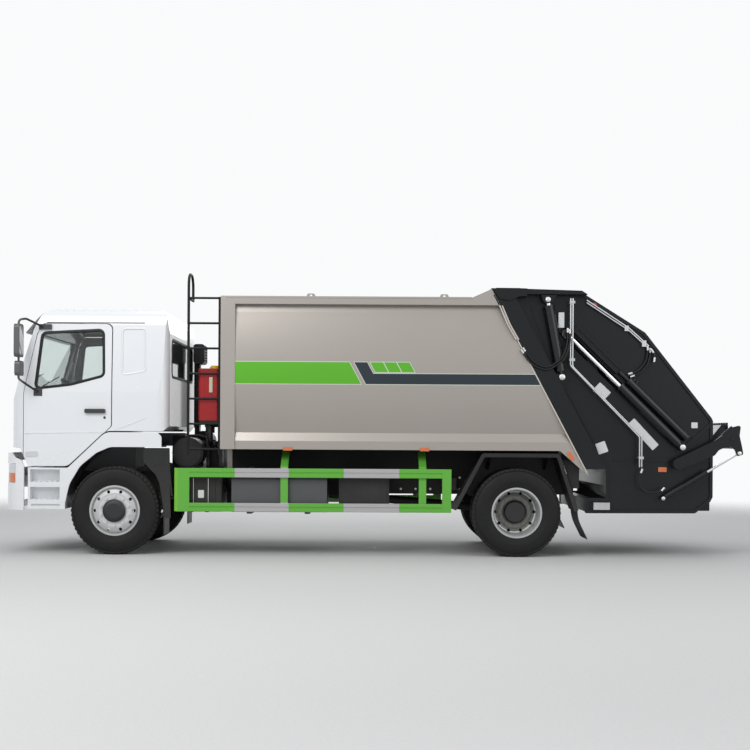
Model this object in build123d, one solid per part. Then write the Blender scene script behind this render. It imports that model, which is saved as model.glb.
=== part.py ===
from build123d import *
import math
import os

# A rear-loading refuse truck: two axles, twin rear tyres, a tilting cab, a ribless convex
# container and a lifting tailgate hopper with its sliding packer and a bin lifter.
# Millimetres. X runs to the rear, +Z up, the driver's side is -Y, the wheels stand on Z = 0
# and X = 0 is halfway between the bumper and the hopper's rear beam.

# Driving dimensions
WHEELBASE = 4700
OVERALL_LENGTH = 8636
CAB_WIDTH = 2350
BODY_WIDTH = 2440
HOPPER_WIDTH = 2180
TYRE_RADIUS = 515
TYRE_WIDTH = 270
TYRE_SIDES = 48
RIM_RADIUS = 297
NUT_CIRCLE = 167.5
HUB_RADIUS = 134
GAP = 8

FRONT_X = -4345
REAR_X = FRONT_X + OVERALL_LENGTH
FRONT_AXLE_X = -3040
REAR_AXLE_X = FRONT_AXLE_X + WHEELBASE
AXLE_Z = TYRE_RADIUS
CAB_HALF = CAB_WIDTH / 2
BODY_HALF = BODY_WIDTH / 2
HOPPER_HALF = HOPPER_WIDTH / 2

# Frame and running gear
RAIL_Y = 430
RAIL_FLANGE = 80
RAIL_WEB = 9
RAIL_BOTTOM_Z = 700
RAIL_TOP_Z = 955
RAIL_FRONT_X = -4180
RAIL_REAR_X = 2430
KINGPIN_Y = 980
FRONT_WHEEL_Y = 1045
TWIN_OUTER_Y = 1078
TWIN_INNER_Y = 766

# Cab
CAB_WALL = 60
BELT_Z = 1900
GUTTER_Z = 2705
CAB_FRONT_X = -4310
DOOR_FRONT_X = -4116
DOOR_REAR_X = -3073
DOOR_BOTTOM_Z = 1032
CAB_REAR_X = -2420
CAB_REAR_BOTTOM_Z = 1446

# Container
BODY_FRONT_X = -1805
POST_REAR_X = -1637
FLOOR_BOTTOM_Z = 1242
FLOOR_TOP_Z = 1341
LEDGE_Z = 1438
PANEL_TOP_Z = 2849
ROOF_RAIL_Z = 2936
ROOF_Z = 3029
BODY_WALL = 60
SEAM_TOP = (1343, 3138)
SEAM_BOTTOM = (2498, 958)

# Hopper, its hinge and its mechanism
HINGE = (1503, 3088)
LIFT_TOP = (2009, 3007)
LIFT_BOTTOM = (2178, 2103)
SIDE_SHEET = 30
SLIDE_PIN = (3591, 1291)
SLIDE_ROD_EYE = (2235, 2611)
SLIDE_TRAVEL = 800
LIFTER_PIVOT = (3533, 1100)
LIFTER_CYLINDER = (3362, 695)
LIFTER_EYE = (4242, 1224)
FRAME_SHIFT = 230
LIFT_CYLINDER_Y = 1165
LIFT_LUG_Y = (1122, 1194)
SLIDE_CYLINDER_Y = 1160
LIFTER_CYLINDER_Y = 1185
ARM_Y = 1222
ARM_THICK = 24
TRUNNION_RADIUS = 34

# Bumper
BUMPER_TOP_Z = 1186
BUMPER_BOTTOM_Z = 520
BUMPER_SIDE_Y = 1213

# Packer's guide, blade, tub and cover
GUIDE = (SLIDE_PIN[0] - SLIDE_ROD_EYE[0], SLIDE_PIN[1] - SLIDE_ROD_EYE[1])
GUIDE_LENGTH = math.hypot(*GUIDE)
GUIDE_X = GUIDE[0] / GUIDE_LENGTH
GUIDE_Z = GUIDE[1] / GUIDE_LENGTH
BLADE_HINGE = (2675, 1846)
BLADE_LENGTH = 655
TUB_CENTRE = (BLADE_HINGE[0] + SLIDE_TRAVEL * GUIDE_X, BLADE_HINGE[1] + SLIDE_TRAVEL * GUIDE_Z)
TUB_RADIUS = 685
SILL = (3930, 1137)
COVER = [(2402, 3111), (3163, 2635), (3540, 2155)]
HOPPER_OUTER_Y = 1250
SECOND_UP = 118
SECOND_Y = 1143

# Jacks: foot and rod eye in side view, distance out, radii and lengths along the axis
LIFT = dict(foot=LIFT_BOTTOM, head=LIFT_TOP, y=LIFT_CYLINDER_Y, barrel=62, rod_radius=27,
            length=850, piston=106, foot_width=54, eye=44, eye_width=50, hole=0)
SLIDE = dict(foot=SLIDE_PIN, head=SLIDE_ROD_EYE, y=SLIDE_CYLINDER_Y, barrel=54, rod_radius=25,
             length=1025, piston=925, foot_width=90, eye=52, eye_width=60, hole=TRUNNION_RADIUS)
LIFTER = dict(foot=LIFTER_CYLINDER, head=LIFTER_EYE, y=LIFTER_CYLINDER_Y, barrel=30, rod_radius=15,
              length=600, piston=245, foot_width=44, eye=30, eye_width=36, hole=0)

# Ladder
LADDER_Y = -1120
LADDER_LEFT_X = -2192
LADDER_RIGHT_X = -1827


def box(x0, x1, y0, y1, z0, z1):
    """A block between two corners."""
    block = Box(x1 - x0, y1 - y0, z1 - z0)
    return Pos((x0 + x1) / 2, (y0 + y1) / 2, (z0 + z1) / 2) * block


def outline(*rows):
    """A closed flat face from rows of (across, up, corner radius)."""
    points = [(across, up) for across, up, radius in rows]
    radii = [radius for across, up, radius in rows]
    return make_face(FilletPolyline(points, radius=radii, close=True))


def band(thickness, *rows):
    """A strip of even thickness beside a path of (across, up, corner radius) rows."""
    points = [(across, up) for across, up, radius in rows]
    path = FilletPolyline(points, radius=[radius for across, up, radius in rows[1:-1]])
    return make_face(offset(path, amount=thickness, side=Side.LEFT, closed=True))


def sharp(*points):
    """A closed flat face with sharp corners from (across, up) points."""
    return make_face(Polyline(*points, close=True))


def along_y(face, y0, y1):
    """A side view, X across and Z up, carried from y0 to y1."""
    side = Plane(origin=(0, y0, 0), x_dir=(1, 0, 0), z_dir=(0, -1, 0))
    return extrude(side * face, amount=y0 - y1)


def along_x(face, x0, x1):
    """A cross-section, Y across and Z up, carried from x0 to x1."""
    section = Plane(origin=(x0, 0, 0), x_dir=(0, 1, 0), z_dir=(1, 0, 0))
    return extrude(section * face, amount=x1 - x0)


def along_z(face, z0, z1):
    """A plan, X across and Y up the page, carried from z0 to z1."""
    return extrude(Pos(0, 0, z0) * face, amount=z1 - z0)


def rod(start, end, radius):
    """A round bar between two points."""
    line = Vector(*end) - Vector(*start)
    plane = Plane(origin=start, z_dir=line)
    return extrude(plane * Circle(radius), amount=line.length)


def pipe(points, radius, bend):
    """A round pipe along straight runs joined by arcs of one bend radius."""
    path = FilletPolyline(*points, radius=bend)
    start = Plane(origin=path @ 0, z_dir=path % 0)
    return sweep(start * Circle(radius), path=path)


def turned_y(rows, x, y, z):
    """A body turned about an axis along Y, from rows of (distance out along +Y, radius)."""
    profile = sharp(*[(radius, out) for out, radius in rows])
    lathe = Plane(origin=(x, y, z), x_dir=(1, 0, 0), z_dir=(0, 0, 1))
    return revolve(lathe * profile, axis=Axis((x, y, z), (0, 1, 0)))


def flipped(shape):
    """The same shape on the other side of the truck."""
    return mirror(shape, about=Plane.XZ)


def pair(shape):
    """A shape and its twin on the other side."""
    return [shape, flipped(shape)]


def between(start, end, share):
    """The point at a share of the way from one point to another."""
    return tuple(a + (b - a) * share for a, b in zip(start, end))


def union(shapes):
    """Many shapes fused into one."""
    first, *rest = shapes
    return first.fuse(*rest) if rest else first


def save(name, *shapes):
    """Write one named sub-part; its solids don't touch."""
    solids = [solid for shape in shapes for solid in shape.solids()]
    whole = solids[0] if len(solids) == 1 else Compound(children=solids)
    whole.label = name
    export_step(whole, f"parts/{name}.step")
    print(name, len(solids))


# Frame, axles, springs and drive line

def frame_rails():
    """Two channel rails facing inwards, joined by tubes and a closing cross-member."""
    section = sharp(
        (RAIL_Y, RAIL_BOTTOM_Z), (RAIL_Y, RAIL_TOP_Z),
        (RAIL_Y - RAIL_FLANGE, RAIL_TOP_Z), (RAIL_Y - RAIL_FLANGE, RAIL_TOP_Z - RAIL_WEB),
        (RAIL_Y - RAIL_WEB, RAIL_TOP_Z - RAIL_WEB), (RAIL_Y - RAIL_WEB, RAIL_BOTTOM_Z + RAIL_WEB),
        (RAIL_Y - RAIL_FLANGE, RAIL_BOTTOM_Z + RAIL_WEB), (RAIL_Y - RAIL_FLANGE, RAIL_BOTTOM_Z))
    rail = along_x(section, RAIL_FRONT_X, RAIL_REAR_X)
    inner = RAIL_Y - RAIL_WEB / 2
    tube_x = (-1990, -1150, -150, 850, 2250)
    tube_z = RAIL_TOP_Z - 48
    tubes = [rod((x, -inner, tube_z), (x, inner, tube_z), 38) for x in tube_x]
    front_beam = box(RAIL_FRONT_X, RAIL_FRONT_X + 70, -inner, inner, RAIL_BOTTOM_Z, RAIL_TOP_Z - 80)
    return union([rail, flipped(rail), *tubes, front_beam])


def front_axle_beam():
    """A forged beam, dropped between its spring seats, with an eye for each kingpin."""
    top = AXLE_Z - 60
    half = outline(
        (0, top - 60, 0), (550, top - 60, 60), (720, AXLE_Z + 20, 60),
        (KINGPIN_Y - 30, AXLE_Z + 42, 0), (KINGPIN_Y - 30, AXLE_Z - 42, 0),
        (740, AXLE_Z - 70, 60), (560, top - 170, 60), (0, top - 170, 0))
    beam = along_x(half, FRONT_AXLE_X - 45, FRONT_AXLE_X + 45)
    groove = outline(
        (0, top - 82, 0), (510, top - 82, 30), (620, top - 40, 30),
        (560, top - 148, 30), (0, top - 148, 0))
    grooves = [along_x(groove, FRONT_AXLE_X + side - 15, FRONT_AXLE_X + side + 15) for side in (-45, 45)]
    eye = Pos(FRONT_AXLE_X, KINGPIN_Y - 12, AXLE_Z) * Cylinder(46, 86)
    pin_hole = Pos(FRONT_AXLE_X, KINGPIN_Y, AXLE_Z) * Cylinder(25, 400)
    side = union([beam.cut(*grooves), eye]) - pin_hole
    return union([side, flipped(side)])


def knuckle():
    """A fork round the kingpin's eye, its pin, the stub that carries the hub and the arm."""
    x, y, z = FRONT_AXLE_X, KINGPIN_Y, AXLE_Z
    cheeks = [
        along_z(outline((x - 48, y - 48, 40), (x + 48, y - 48, 40), (x + 48, y + 70, 0),
                        (x - 48, y + 70, 0)), z + low, z + low + 45)
        for low in (49, -94)]
    back = box(x - 48, x + 48, y + 52, y + 70, z - 94, z + 94)
    pin = Pos(x, y, z) * Cylinder(24.5, 210)
    stub = rod((x, y + 60, z), (x, y + 140, z), 42)
    arm = pipe([(x, y - 10, z - 80), (x + 110, y - 20, z - 80), (x + 190, y - 60, z - 80)], 17, 60)
    return union([*cheeks, back, pin, stub, arm])


def rear_axle_housing():
    """A banjo housing with its round differential case and a tube to each hub."""
    x, z = REAR_AXLE_X, AXLE_Z
    case = turned_y([(-95, 0), (-95, 120), (-50, 185), (50, 185), (95, 120), (95, 0)], x, 0, z)
    nose = Pos(x - 190, 0, z) * Rot(0, 90, 0) * Cone(150, 75, 230)
    arms = [turned_y([(60, 0), (60, 100), (260, 72), (700, 66), (700, 52), (955, 52), (955, 0)], x, 0, z)]
    seats = [box(x - 75, x + 75, 420, 520, z + 30, z + 78)]
    side = union(arms + seats)
    return union([case, nose, side, flipped(side)])


def leaf_spring(x, y, z, length, leaves):
    """A pack of leaves bent to one arc, longest on top, with eyes at its two ends."""
    rise = 95
    arc_radius = (length * length / 4 + rise * rise) / (2 * rise)
    centre_z = z + arc_radius
    pack = []
    for level in range(leaves):
        reach = length / 2 * (1 - 0.8 * level / leaves)
        outer = arc_radius + 14 * (level + 1)
        ring = Circle(outer) - Circle(outer - 14)
        wedge = Pos(0, -outer) * Rectangle(2 * reach, outer)
        leaf = Pos(x, centre_z) * (ring & wedge)
        pack.append(along_y(leaf, y - 38, y + 38))
    end_z = z + rise
    eyes = [rod((x + side * length / 2, y - 38, end_z), (x + side * length / 2, y + 38, end_z), 30)
            for side in (-1, 1)]
    return union(pack + eyes)


def springs():
    """Front and rear leaf packs with the hangers that join them to the rails."""
    rows = [
        # axle x, y, height of the pack's middle, length, leaves, seat's underside
        (FRONT_AXLE_X, 472, 560, 1300, 4, AXLE_Z - 118),
        (REAR_AXLE_X, 472, 682, 1400, 6, AXLE_Z + 79),
    ]
    parts = []
    for x, y, z, length, leaves, seat_z in rows:
        pack = leaf_spring(x, y, z, length, leaves)
        hangers = [box(x + side * length / 2 - 34, x + side * length / 2 + 34, RAIL_Y, y + 38,
                       z + 95, RAIL_TOP_Z - 60) for side in (-1, 1)]
        seat = box(x - 62, x + 62, y - 45, y + 45, seat_z, z + 4)
        parts += pair(union([pack, seat, *hangers]))
    return parts


def propshaft():
    """A hollow-looking drive shaft with a fork at each end, from the gearbox to the axle."""
    start = (-2068, 0, 800)
    end = (REAR_AXLE_X - 320, 0, AXLE_Z)
    inner_start = between(start, end, 0.03)
    inner_end = between(start, end, 0.97)
    return union([rod(inner_start, inner_end, 52), rod(start, inner_start, 70), rod(inner_end, end, 70)])


# Wheels

def tyre(x, y, z):
    """A tyre of flat facets: rings from bead to wall, shoulder and tread, joined by ruled bands."""
    half = TYRE_WIDTH / 2
    side = [(half - 26, RIM_RADIUS), (half, RIM_RADIUS + 100), (half - 10, TYRE_RADIUS - 38),
            (half - 34, TYRE_RADIUS)]
    rows = side + [(-out, radius) for out, radius in reversed(side)]

    def ring(out, radius):
        plane = Plane(origin=(x, y + out, z), x_dir=(0, 0, 1), z_dir=(0, 1, 0))
        return plane * Rot(0, 0, 180 / TYRE_SIDES) * RegularPolygon(radius, TYRE_SIDES, major_radius=False)

    outside = loft([ring(out, radius) for out, radius in rows], ruled=True)
    return outside - extrude(ring(-half - 5, RIM_RADIUS), amount=TYRE_WIDTH + 10)


def rim(x, y, z, joined, face):
    """A rim barrel with its pressed disc, which leaves the barrel at joined and bolts up at face."""
    half = TYRE_WIDTH / 2 - 20
    barrel = turned_y([
        (-half, RIM_RADIUS - 2), (-half, RIM_RADIUS - 22), (-half + 30, RIM_RADIUS - 36),
        (half - 30, RIM_RADIUS - 36), (half, RIM_RADIUS - 22), (half, RIM_RADIUS - 2)], x, y, z)
    bend = joined + 0.8 * (face - joined)
    disc = turned_y([
        (joined, RIM_RADIUS - 25), (bend, 246), (face, 206), (face, HUB_RADIUS + 4),
        (face - 12, HUB_RADIUS + 4), (face - 12, 200), (bend - 14, 236), (joined - 16, RIM_RADIUS - 25)],
        x, y, z)
    holes = [Pos(x, y, z) * Rot(0, 36 * number + 18, 0) * Pos(0, (bend + face) / 2, 228)
             * Rot(90, 0, 0) * Cylinder(19, 160) for number in range(10)]
    return barrel.fuse(disc.cut(*holes))


def wheel_nuts(x, y, z, face):
    """Ten hexagon nuts on the bolt circle."""
    nut = extrude(RegularPolygon(18, 6), amount=24)
    return [Pos(x, y + face - 2, z) * Rot(0, 36 * number, 0) * Pos(0, 0, NUT_CIRCLE) * Rot(-90, 0, 0) * nut
            for number in range(10)]


def front_hub(x, y, z, face):
    """Hub and brake drum on the stub axle, closed by a broad domed cap."""
    return turned_y([
        (8, 43), (8, 196), (70, 200), (70, 190), (face - 12, 190), (face - 12, HUB_RADIUS + 4),
        (face, HUB_RADIUS + 4), (face + 30, HUB_RADIUS), (face + 44, HUB_RADIUS - 16),
        (face + 50, HUB_RADIUS - 46), (face + 50, 0), (78, 0), (78, 43)], x, y, z)


def rear_hub(x, y, z, inner_face):
    """Hub and drum that turn on the axle tube, from the drum's open side to the cap."""
    return turned_y([
        (inner_face - 190, 192), (inner_face - 190, 205), (inner_face - 12, 205),
        (inner_face - 12, HUB_RADIUS + 4), (inner_face + 12, HUB_RADIUS + 4), (inner_face + 66, HUB_RADIUS),
        (inner_face + 82, HUB_RADIUS - 18), (inner_face + 82, 0), (inner_face + 42, 0), (inner_face + 42, 53),
        (inner_face - 60, 53), (inner_face - 60, 110), (inner_face - 26, 192)], x, y, z)


def front_wheel():
    """The tyre, and the rim with its hub, of one steered wheel."""
    x, y, z = FRONT_AXLE_X, FRONT_WHEEL_Y, AXLE_Z
    face = 118
    metal = union([rim(x, y, z, 78, face), front_hub(x, y, z, face), *wheel_nuts(x, y, z, face)])
    return tyre(x, y, z), metal


def twin_wheel():
    """Two tyres and their rims, bolted back to back on one hub."""
    x, z = REAR_AXLE_X, AXLE_Z
    middle = (TWIN_OUTER_Y + TWIN_INNER_Y) / 2
    outer = rim(x, TWIN_OUTER_Y, z, -80, middle - TWIN_OUTER_Y + 12)
    inner = rim(x, TWIN_INNER_Y, z, 80, middle - TWIN_INNER_Y)
    hub = rear_hub(x, 0, z, middle)
    nuts = wheel_nuts(x, 0, z, middle + 12)
    return [tyre(x, TWIN_OUTER_Y, z), tyre(x, TWIN_INNER_Y, z)], union([outer, inner, hub, *nuts])


# Cab

def moved_in(inset, *rows):
    """An outline whose points, given as (across, up, radius, in_across, in_up), move in by inset."""
    return outline(*[(across + inset * in_across, up + inset * in_up, radius)
                     for across, up, radius, in_across, in_up in rows])


def cab_block(inset):
    """The cab's outer form moved inwards by inset: side view, plan and front view in common."""
    front_x, rear, low = CAB_FRONT_X, CAB_REAR_X, CAB_REAR_BOTTOM_Z
    side = moved_in(
        inset, (front_x, 1248, 0, 1, 1), (front_x + 2, 1730, 60, 1, 0.25), (-4222, 1905, 200, 1, 0.25),
        (-4000, 2630, 90, 1, -0.3), (-3900, 2840, 100, 0.8, -0.7), (-3690, 2908, 150, 0.2, -1),
        (-2700, 2893, 60, 0, -1), (rear - 30, 2860, 90, -1, -1), (rear, 2600, 0, -1, 0),
        (rear, low + 60, 0, -1, 1), (rear - 60, low, 0, -0.4, 1), (-3150, low, 160, -0.5, 1),
        (-3590, DOOR_BOTTOM_Z, 120, -0.8, 1), (-4052, DOOR_BOTTOM_Z, 15, 0.6, 1), (-4150, 1240, 30, 0.6, 1))
    half = CAB_HALF - inset
    plan = moved_in(
        inset, (front_x - 4, 0, 4000, 1, 0), (front_x + 33, CAB_HALF, 260, 1, -1),
        (rear, CAB_HALF, 138, -1, -1), (rear, -CAB_HALF, 138, -1, 1), (front_x + 33, -CAB_HALF, 260, 1, 1))
    right = [(CAB_HALF - 105, 2880, 150, -1, -1), (CAB_HALF - 45, GUTTER_Z, 120, -1, 0),
             (CAB_HALF, BELT_Z, 0, -1, 0), (CAB_HALF, 900, 0, -1, 0)]
    left = [(-across, up, radius, -in_across, in_up) for across, up, radius, in_across, in_up
            in reversed(right)]
    front = moved_in(inset, (0, 2912, 6000, 0, -1), *right, *left)
    block = along_y(side, -half - 90, half + 90) & along_x(front, -4400, -2300)
    return block & along_z(plan, 800, 3100)


def tunnel(grow):
    """The space for the engine and the radiator between the two foot wells."""
    return box(-4170 - grow, -2000, -420 - grow, 420 + grow, 900, 1470 + grow)


def door_outline(gap):
    """The door's edge in side view, with the gap round it taken off."""
    front, rear, top = DOOR_FRONT_X + gap, DOOR_REAR_X - 1.5 * gap, GUTTER_Z - gap
    return outline(
        (front, 900, 0), (front, 1880, 200), (-3965 + gap, top - 130, 60), (-3900 + gap, top, 60),
        (rear, top, 70), (rear, 1504, 40), (-3575 - 1.4 * gap, 1002, 0), (-3575 - 1.4 * gap, 900, 0))


def door_window(grow):
    """The door's window: its sill falls to the front and its front edge leans back."""
    return outline(
        (-3975 - grow, 1936 - grow, 50), (-3899 - grow, 2592 + grow, 60), (-3183 + grow, 2630 + grow, 60),
        (-3172 + grow, 2091 - grow, 60), (-3560, 1985 - grow, 500))


def windscreen_outline(grow):
    """The windscreen's edge in front view."""
    wide, narrow = 985 + grow, 925 + grow
    return outline(
        (-wide, 1930 - grow, 90), (wide, 1930 - grow, 90), (narrow, 2590 + grow, 110),
        (-narrow, 2590 + grow, 110))


def rear_window_outline(grow):
    """The rear window's edge, seen along the truck."""
    wide = 880 + grow
    low, high = 2092 - grow, 2540 + grow
    return outline((-wide, low, 80), (wide, low, 80), (wide, high, 80), (-wide, high, 80))


def door_space(gap):
    """The block of the side wall that the door takes, on the +Y side."""
    sill = box(-4300, -3000, 900, CAB_HALF - CAB_WALL, 900, DOOR_BOTTOM_Z + CAB_WALL)
    return along_y(door_outline(gap), 1030 + 4 * gap, CAB_HALF + 60) - sill


def cab_parts():
    """The cab's shell, its two doors, its glass and the doors' glass, all cut from one form."""
    outer = cab_block(0)
    walls = (outer - tunnel(0)) - (cab_block(CAB_WALL) - tunnel(CAB_WALL))
    skin = cab_block(22) - cab_block(28)
    screen = along_x(windscreen_outline(0), -4500, -3500)
    rear_window = along_x(rear_window_outline(0), CAB_REAR_X - 200, CAB_REAR_X + 100)
    side_window = along_y(door_window(0), 1000, CAB_HALF + 60)
    shell = walls.cut(screen, rear_window, *pair(door_space(0)))
    door = (walls & door_space(GAP)) - side_window
    sleeper = outline((-2964, 2099, 40), (-2964, 2647, 40), (-2684, 2647, 40), (-2684, 2150, 40))
    recess = along_y(sleeper, 1000, CAB_HALF + 60) - cab_block(6)
    foot_well = box(-3720, -3578, 510, 1048, 1118, 1442)
    shell = shell.cut(*pair(recess), *pair(foot_well))
    screen_glass = skin & along_x(windscreen_outline(-6), -4500, -3500)
    rear_glass = skin & along_x(rear_window_outline(-6), CAB_REAR_X - 200, CAB_REAR_X + 100)
    door_glass = skin & along_y(door_window(-6), 1000, CAB_HALF + 60)
    return shell, door, [screen_glass, rear_glass], door_glass


def door_fittings():
    """Main and lower mirror on their two arms, the brackets on the door, and the pull handle."""
    y = CAB_HALF
    main_mirror = box(-4138, -4078, y + 120, y + 330, 2290, 2670)
    main_mirror = fillet(main_mirror.edges().filter_by(Axis.X), 45)
    low_mirror = fillet(box(-4132, -4072, y + 130, y + 320, 2075, 2245).edges().filter_by(Axis.X), 40)
    upper_arm = pipe([(-3890, y - 40, 2660), (-3900, y + 20, 2665), (-4030, y + 200, 2735),
                      (-4108, y + 225, 2722), (-4108, y + 225, 2600)], 13, 40)
    lower_arm = pipe([(-3940, y - 20, 1900), (-3950, y + 30, 1905), (-4055, y + 205, 2000),
                      (-4108, y + 225, 2040), (-4108, y + 225, 2300)], 13, 36)
    upper_foot = box(-3935, -3790, y - 60, y - 8, 2630, 2690)
    lower_foot = box(-3990, -3890, y - 25, y + 6, 1850, 1945)
    mirrors = union([main_mirror, low_mirror, upper_arm, lower_arm, upper_foot, lower_foot])
    mirrors = mirrors - cab_block(0)
    handle = fillet(box(-3390, -3150, y, y + 34, 1652, 1702).edges().filter_by(Axis.Y), 15)
    handle = handle - box(-3365, -3205, y - 10, y + 18, 1600, 1750)
    lock = rod((-3160, y, 1602), (-3160, y + 5, 1602), 15)
    return [mirrors, handle, lock]


def grille():
    """A slatted grille let into the cab's front below the windscreen."""
    x = CAB_FRONT_X
    frame = box(x - 12, x + 12, -620, 620, 1290, 1640) - box(x - 40, x + 40, -585, 585, 1318, 1612)
    slats = [box(x - 10, x + 8, -590, 590, z, z + 22) for z in range(1340, 1600, 54)]
    return union([frame, *slats]) - cab_block(0)


def sun_visor():
    """A rounded visor over the windscreen on three stays."""
    blade = outline((-4130, 2600, 8), (-3990, 2765, 120), (-3925, 2830, 8), (-3908, 2812, 6),
                    (-3975, 2745, 100), (-4110, 2588, 6))
    visor = along_y(blade, -1010, 1010)
    stays = [box(-4010, -3985, side - 15, side + 15, 2640, 2720) for side in (-700, 0, 700)]
    return union([visor, *stays]) - cab_block(0)


def dashboard():
    """The dashboard from side to side with the steering column and wheel on the driver's side."""
    board = along_y(outline((-4120, 1560, 0), (-4060, 1900, 30), (-3800, 1850, 60), (-3760, 1640, 60),
                            (-3900, 1500, 0)), -1042, 1042)
    column = rod((-3850, -620, 1720), (-3640, -620, 1905), 32)
    slope = Plane(origin=(-3640, -620, 1905), z_dir=(210, 0, 185))
    wheel = slope * (Torus(215, 15) + Cylinder(60, 30) + Box(34, 420, 20) + Pos(100, 0, 0) * Box(200, 34, 20))
    board = (board & cab_block(CAB_WALL + 4)) - tunnel(CAB_WALL + 4)
    feet = [box(-3990, -3900, side - 60, side + 60, 1470 + CAB_WALL, 1600) for side in (-250, 250)]
    return union([board, column, wheel, *feet])


def seats():
    """Driver's seat and a double seat, each a cushion with a back and a head rest."""
    rows = [(-620, 480), (300, 1000)]
    parts = []
    for middle, width in rows:
        low, high = middle - width / 2, middle + width / 2
        profile = outline(
            (-3380, 1530, 0), (-3400, 1700, 50), (-2960, 1690, 0), (-2800, 2330, 50), (-2690, 2310, 40),
            (-2850, 1640, 60), (-2870, 1530, 0))
        parts.append(along_y(profile, low, high))
    return parts

# What the chassis carries round the cab


def bumper_ring(inset, low, high):
    """The bumper's plan as a solid from one side round the front to the other."""
    x, y = FRONT_X + inset, BUMPER_SIDE_Y - inset
    return along_z(outline(
        (x, 0, 3000), (x + 35, y, 180), (-4000, y, 0), (-4000, -y, 0), (x + 35, -y, 180)), low, high)


def bumper():
    """A wrap-round bumper, hollow behind, with a lower intake, two lamp recesses and a step slot."""
    shell = bumper_ring(0, BUMPER_BOTTOM_Z, BUMPER_TOP_Z) - bumper_ring(30, 500, 1300)
    side_trim = along_y(sharp((-4224, 1300), (-4224, 1170), (-4190, 1128), (-4120, 1100), (-4090, 1032),
                              (-4090, 480), (-3900, 480), (-3900, 1300)), -1300, 1300)
    shell = shell - side_trim
    intake = along_x(outline((-520, 600, 40), (520, 600, 40), (480, 790, 40), (-480, 790, 40)), -4500, -4100)
    slot = along_x(outline((-480, 1000, 30), (480, 1000, 30), (480, 1090, 30), (-480, 1090, 30)),
                   -4500, -4100)
    lamps = [lamp_space(0), flipped(lamp_space(0))]
    shell = shell.cut(intake, slot, *lamps)
    brackets = [box(FRONT_X + 20, RAIL_FRONT_X, side - 40, side + 40, 760, 900) for side in (-390, 390)]
    return union([shell, *brackets])


def lamp_space(gap):
    """The block that a headlamp takes in the bumper's corner, on the +Y side."""
    front = outline((720 + gap, 835 + gap, 40), (1300, 835 + gap, 0), (1300, 1062 - gap, 0),
                    (760 + gap, 1062 - gap, 60))
    return along_x(front, -4500, -4190 - gap)


def headlamp():
    """A lamp unit that follows the bumper's corner, lens outside and housing behind."""
    unit = bumper_ring(4, 700, 1200) - bumper_ring(60, 600, 1300)
    return unit & lamp_space(4)


def steps_and_fender():
    """One side's boarding steps and the fender with its liner, which stay when the cab tilts."""
    outer, inner, low, high = CAB_HALF, 830, 532, DOOR_BOTTOM_Z - 19
    upper_step, lower_step = (846, 992), (640, 786)
    block = box(-4052, -3588, inner, outer, low, high)
    pockets = [along_x(sharp((outer - 130, floor + 14), (outer - 78, top), (outer + 50, top),
                             (outer + 50, floor), (outer - 130, floor)), -4026, -3640)
               for floor, top in (upper_step, lower_step)]
    slot = box(-4010, -3660, outer - 24, outer + 50, 566, 588)
    hollow = box(-4030, -3610, inner - 10, inner + 30, low + 30, high - 30)
    block = block.cut(*pockets, slot, hollow)
    ribs = [box(x, x + 14, outer - 100, outer - 14, floor - 2, floor + 9)
            for floor, top in (upper_step, lower_step) for x in range(-3990, -3660, 64)]
    edge = [(-3618, 532, 0), (-3618, 600, 150), (-3570, 821, 300), (-3443, 1035, 250), (-3253, 1192, 200),
            (-3095, 1259, 200), (-2495, 1259, 0)]
    skin = outline(
        *edge, (-2495, 1380, 60), (-2540, CAB_REAR_BOTTOM_Z - 15, 30), (-3150, CAB_REAR_BOTTOM_Z - 15, 160),
        (-3588, DOOR_BOTTOM_Z - 19, 40), (-3680, DOOR_BOTTOM_Z - 19, 0), (-3680, 532, 0))
    arch = along_y(outline(*edge, (-2400, 1259, 0), (-2400, 400, 0), (-3618, 400, 0)), 700, outer + 50)
    strip = along_y(skin, outer - 28, outer)
    liner = along_y(band(15, *edge), 780, outer - 10)
    return union([block, *ribs, strip]).cut(arch).fuse(liner)


def front_mudguard():
    """The dark guard behind a front wheel with its rubber flap."""
    inner = band(14, (-2453, 235, 0), (-2453, 500, 300), (-2470, 760, 300), (-2640, 1160, 0))
    outer = band(14, (-2606, 1060, 0), (-2414, 1060, 40), (-2378, 690, 0))
    return union([along_y(inner, 800, 1165), along_y(outer, 800, 1165)])


# What hangs between the axles

def side_guard():
    """One side's two rails, their bent front end, rear post and the two leaning posts."""
    y, x0, x1 = 1215, -2352, 893
    rails = []
    for low, high in ((513, 614), (912, 1019)):
        middle = (low + high) / 2
        section = sharp((y - 32, low), (y - 4, low), (y, low + 4), (y, middle - 9), (y - 7, middle - 5),
                        (y - 7, middle + 5), (y, middle + 9), (y, high - 4), (y - 4, high), (y - 32, high))
        rails.append(along_x(section, x0 + 170, x1 - 60))
    front = along_z(sharp((x0, y - 150), (x0 + 12, y - 40), (x0 + 50, y), (x0 + 190, y), (x0 + 190, y - 32),
                          (x0 + 62, y - 32), (x0 + 42, y - 52), (x0 + 30, y - 150)), 513, 1019)
    post = box(x1 - 106, x1, y - 36, y + 1, 513, 1019)
    hangers = []
    for x in (-1100, 515):
        lean = along_x(sharp((y - 32, 513), (y - 60, 513), (y - 60, 1019), (y - 400, 1225), (y - 400, 1241),
                             (y - 345, 1241), (y - 32, 1045)), x, x + 86)
        hangers.append(lean)
    return union([*rails, front, post, *hangers])


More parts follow.
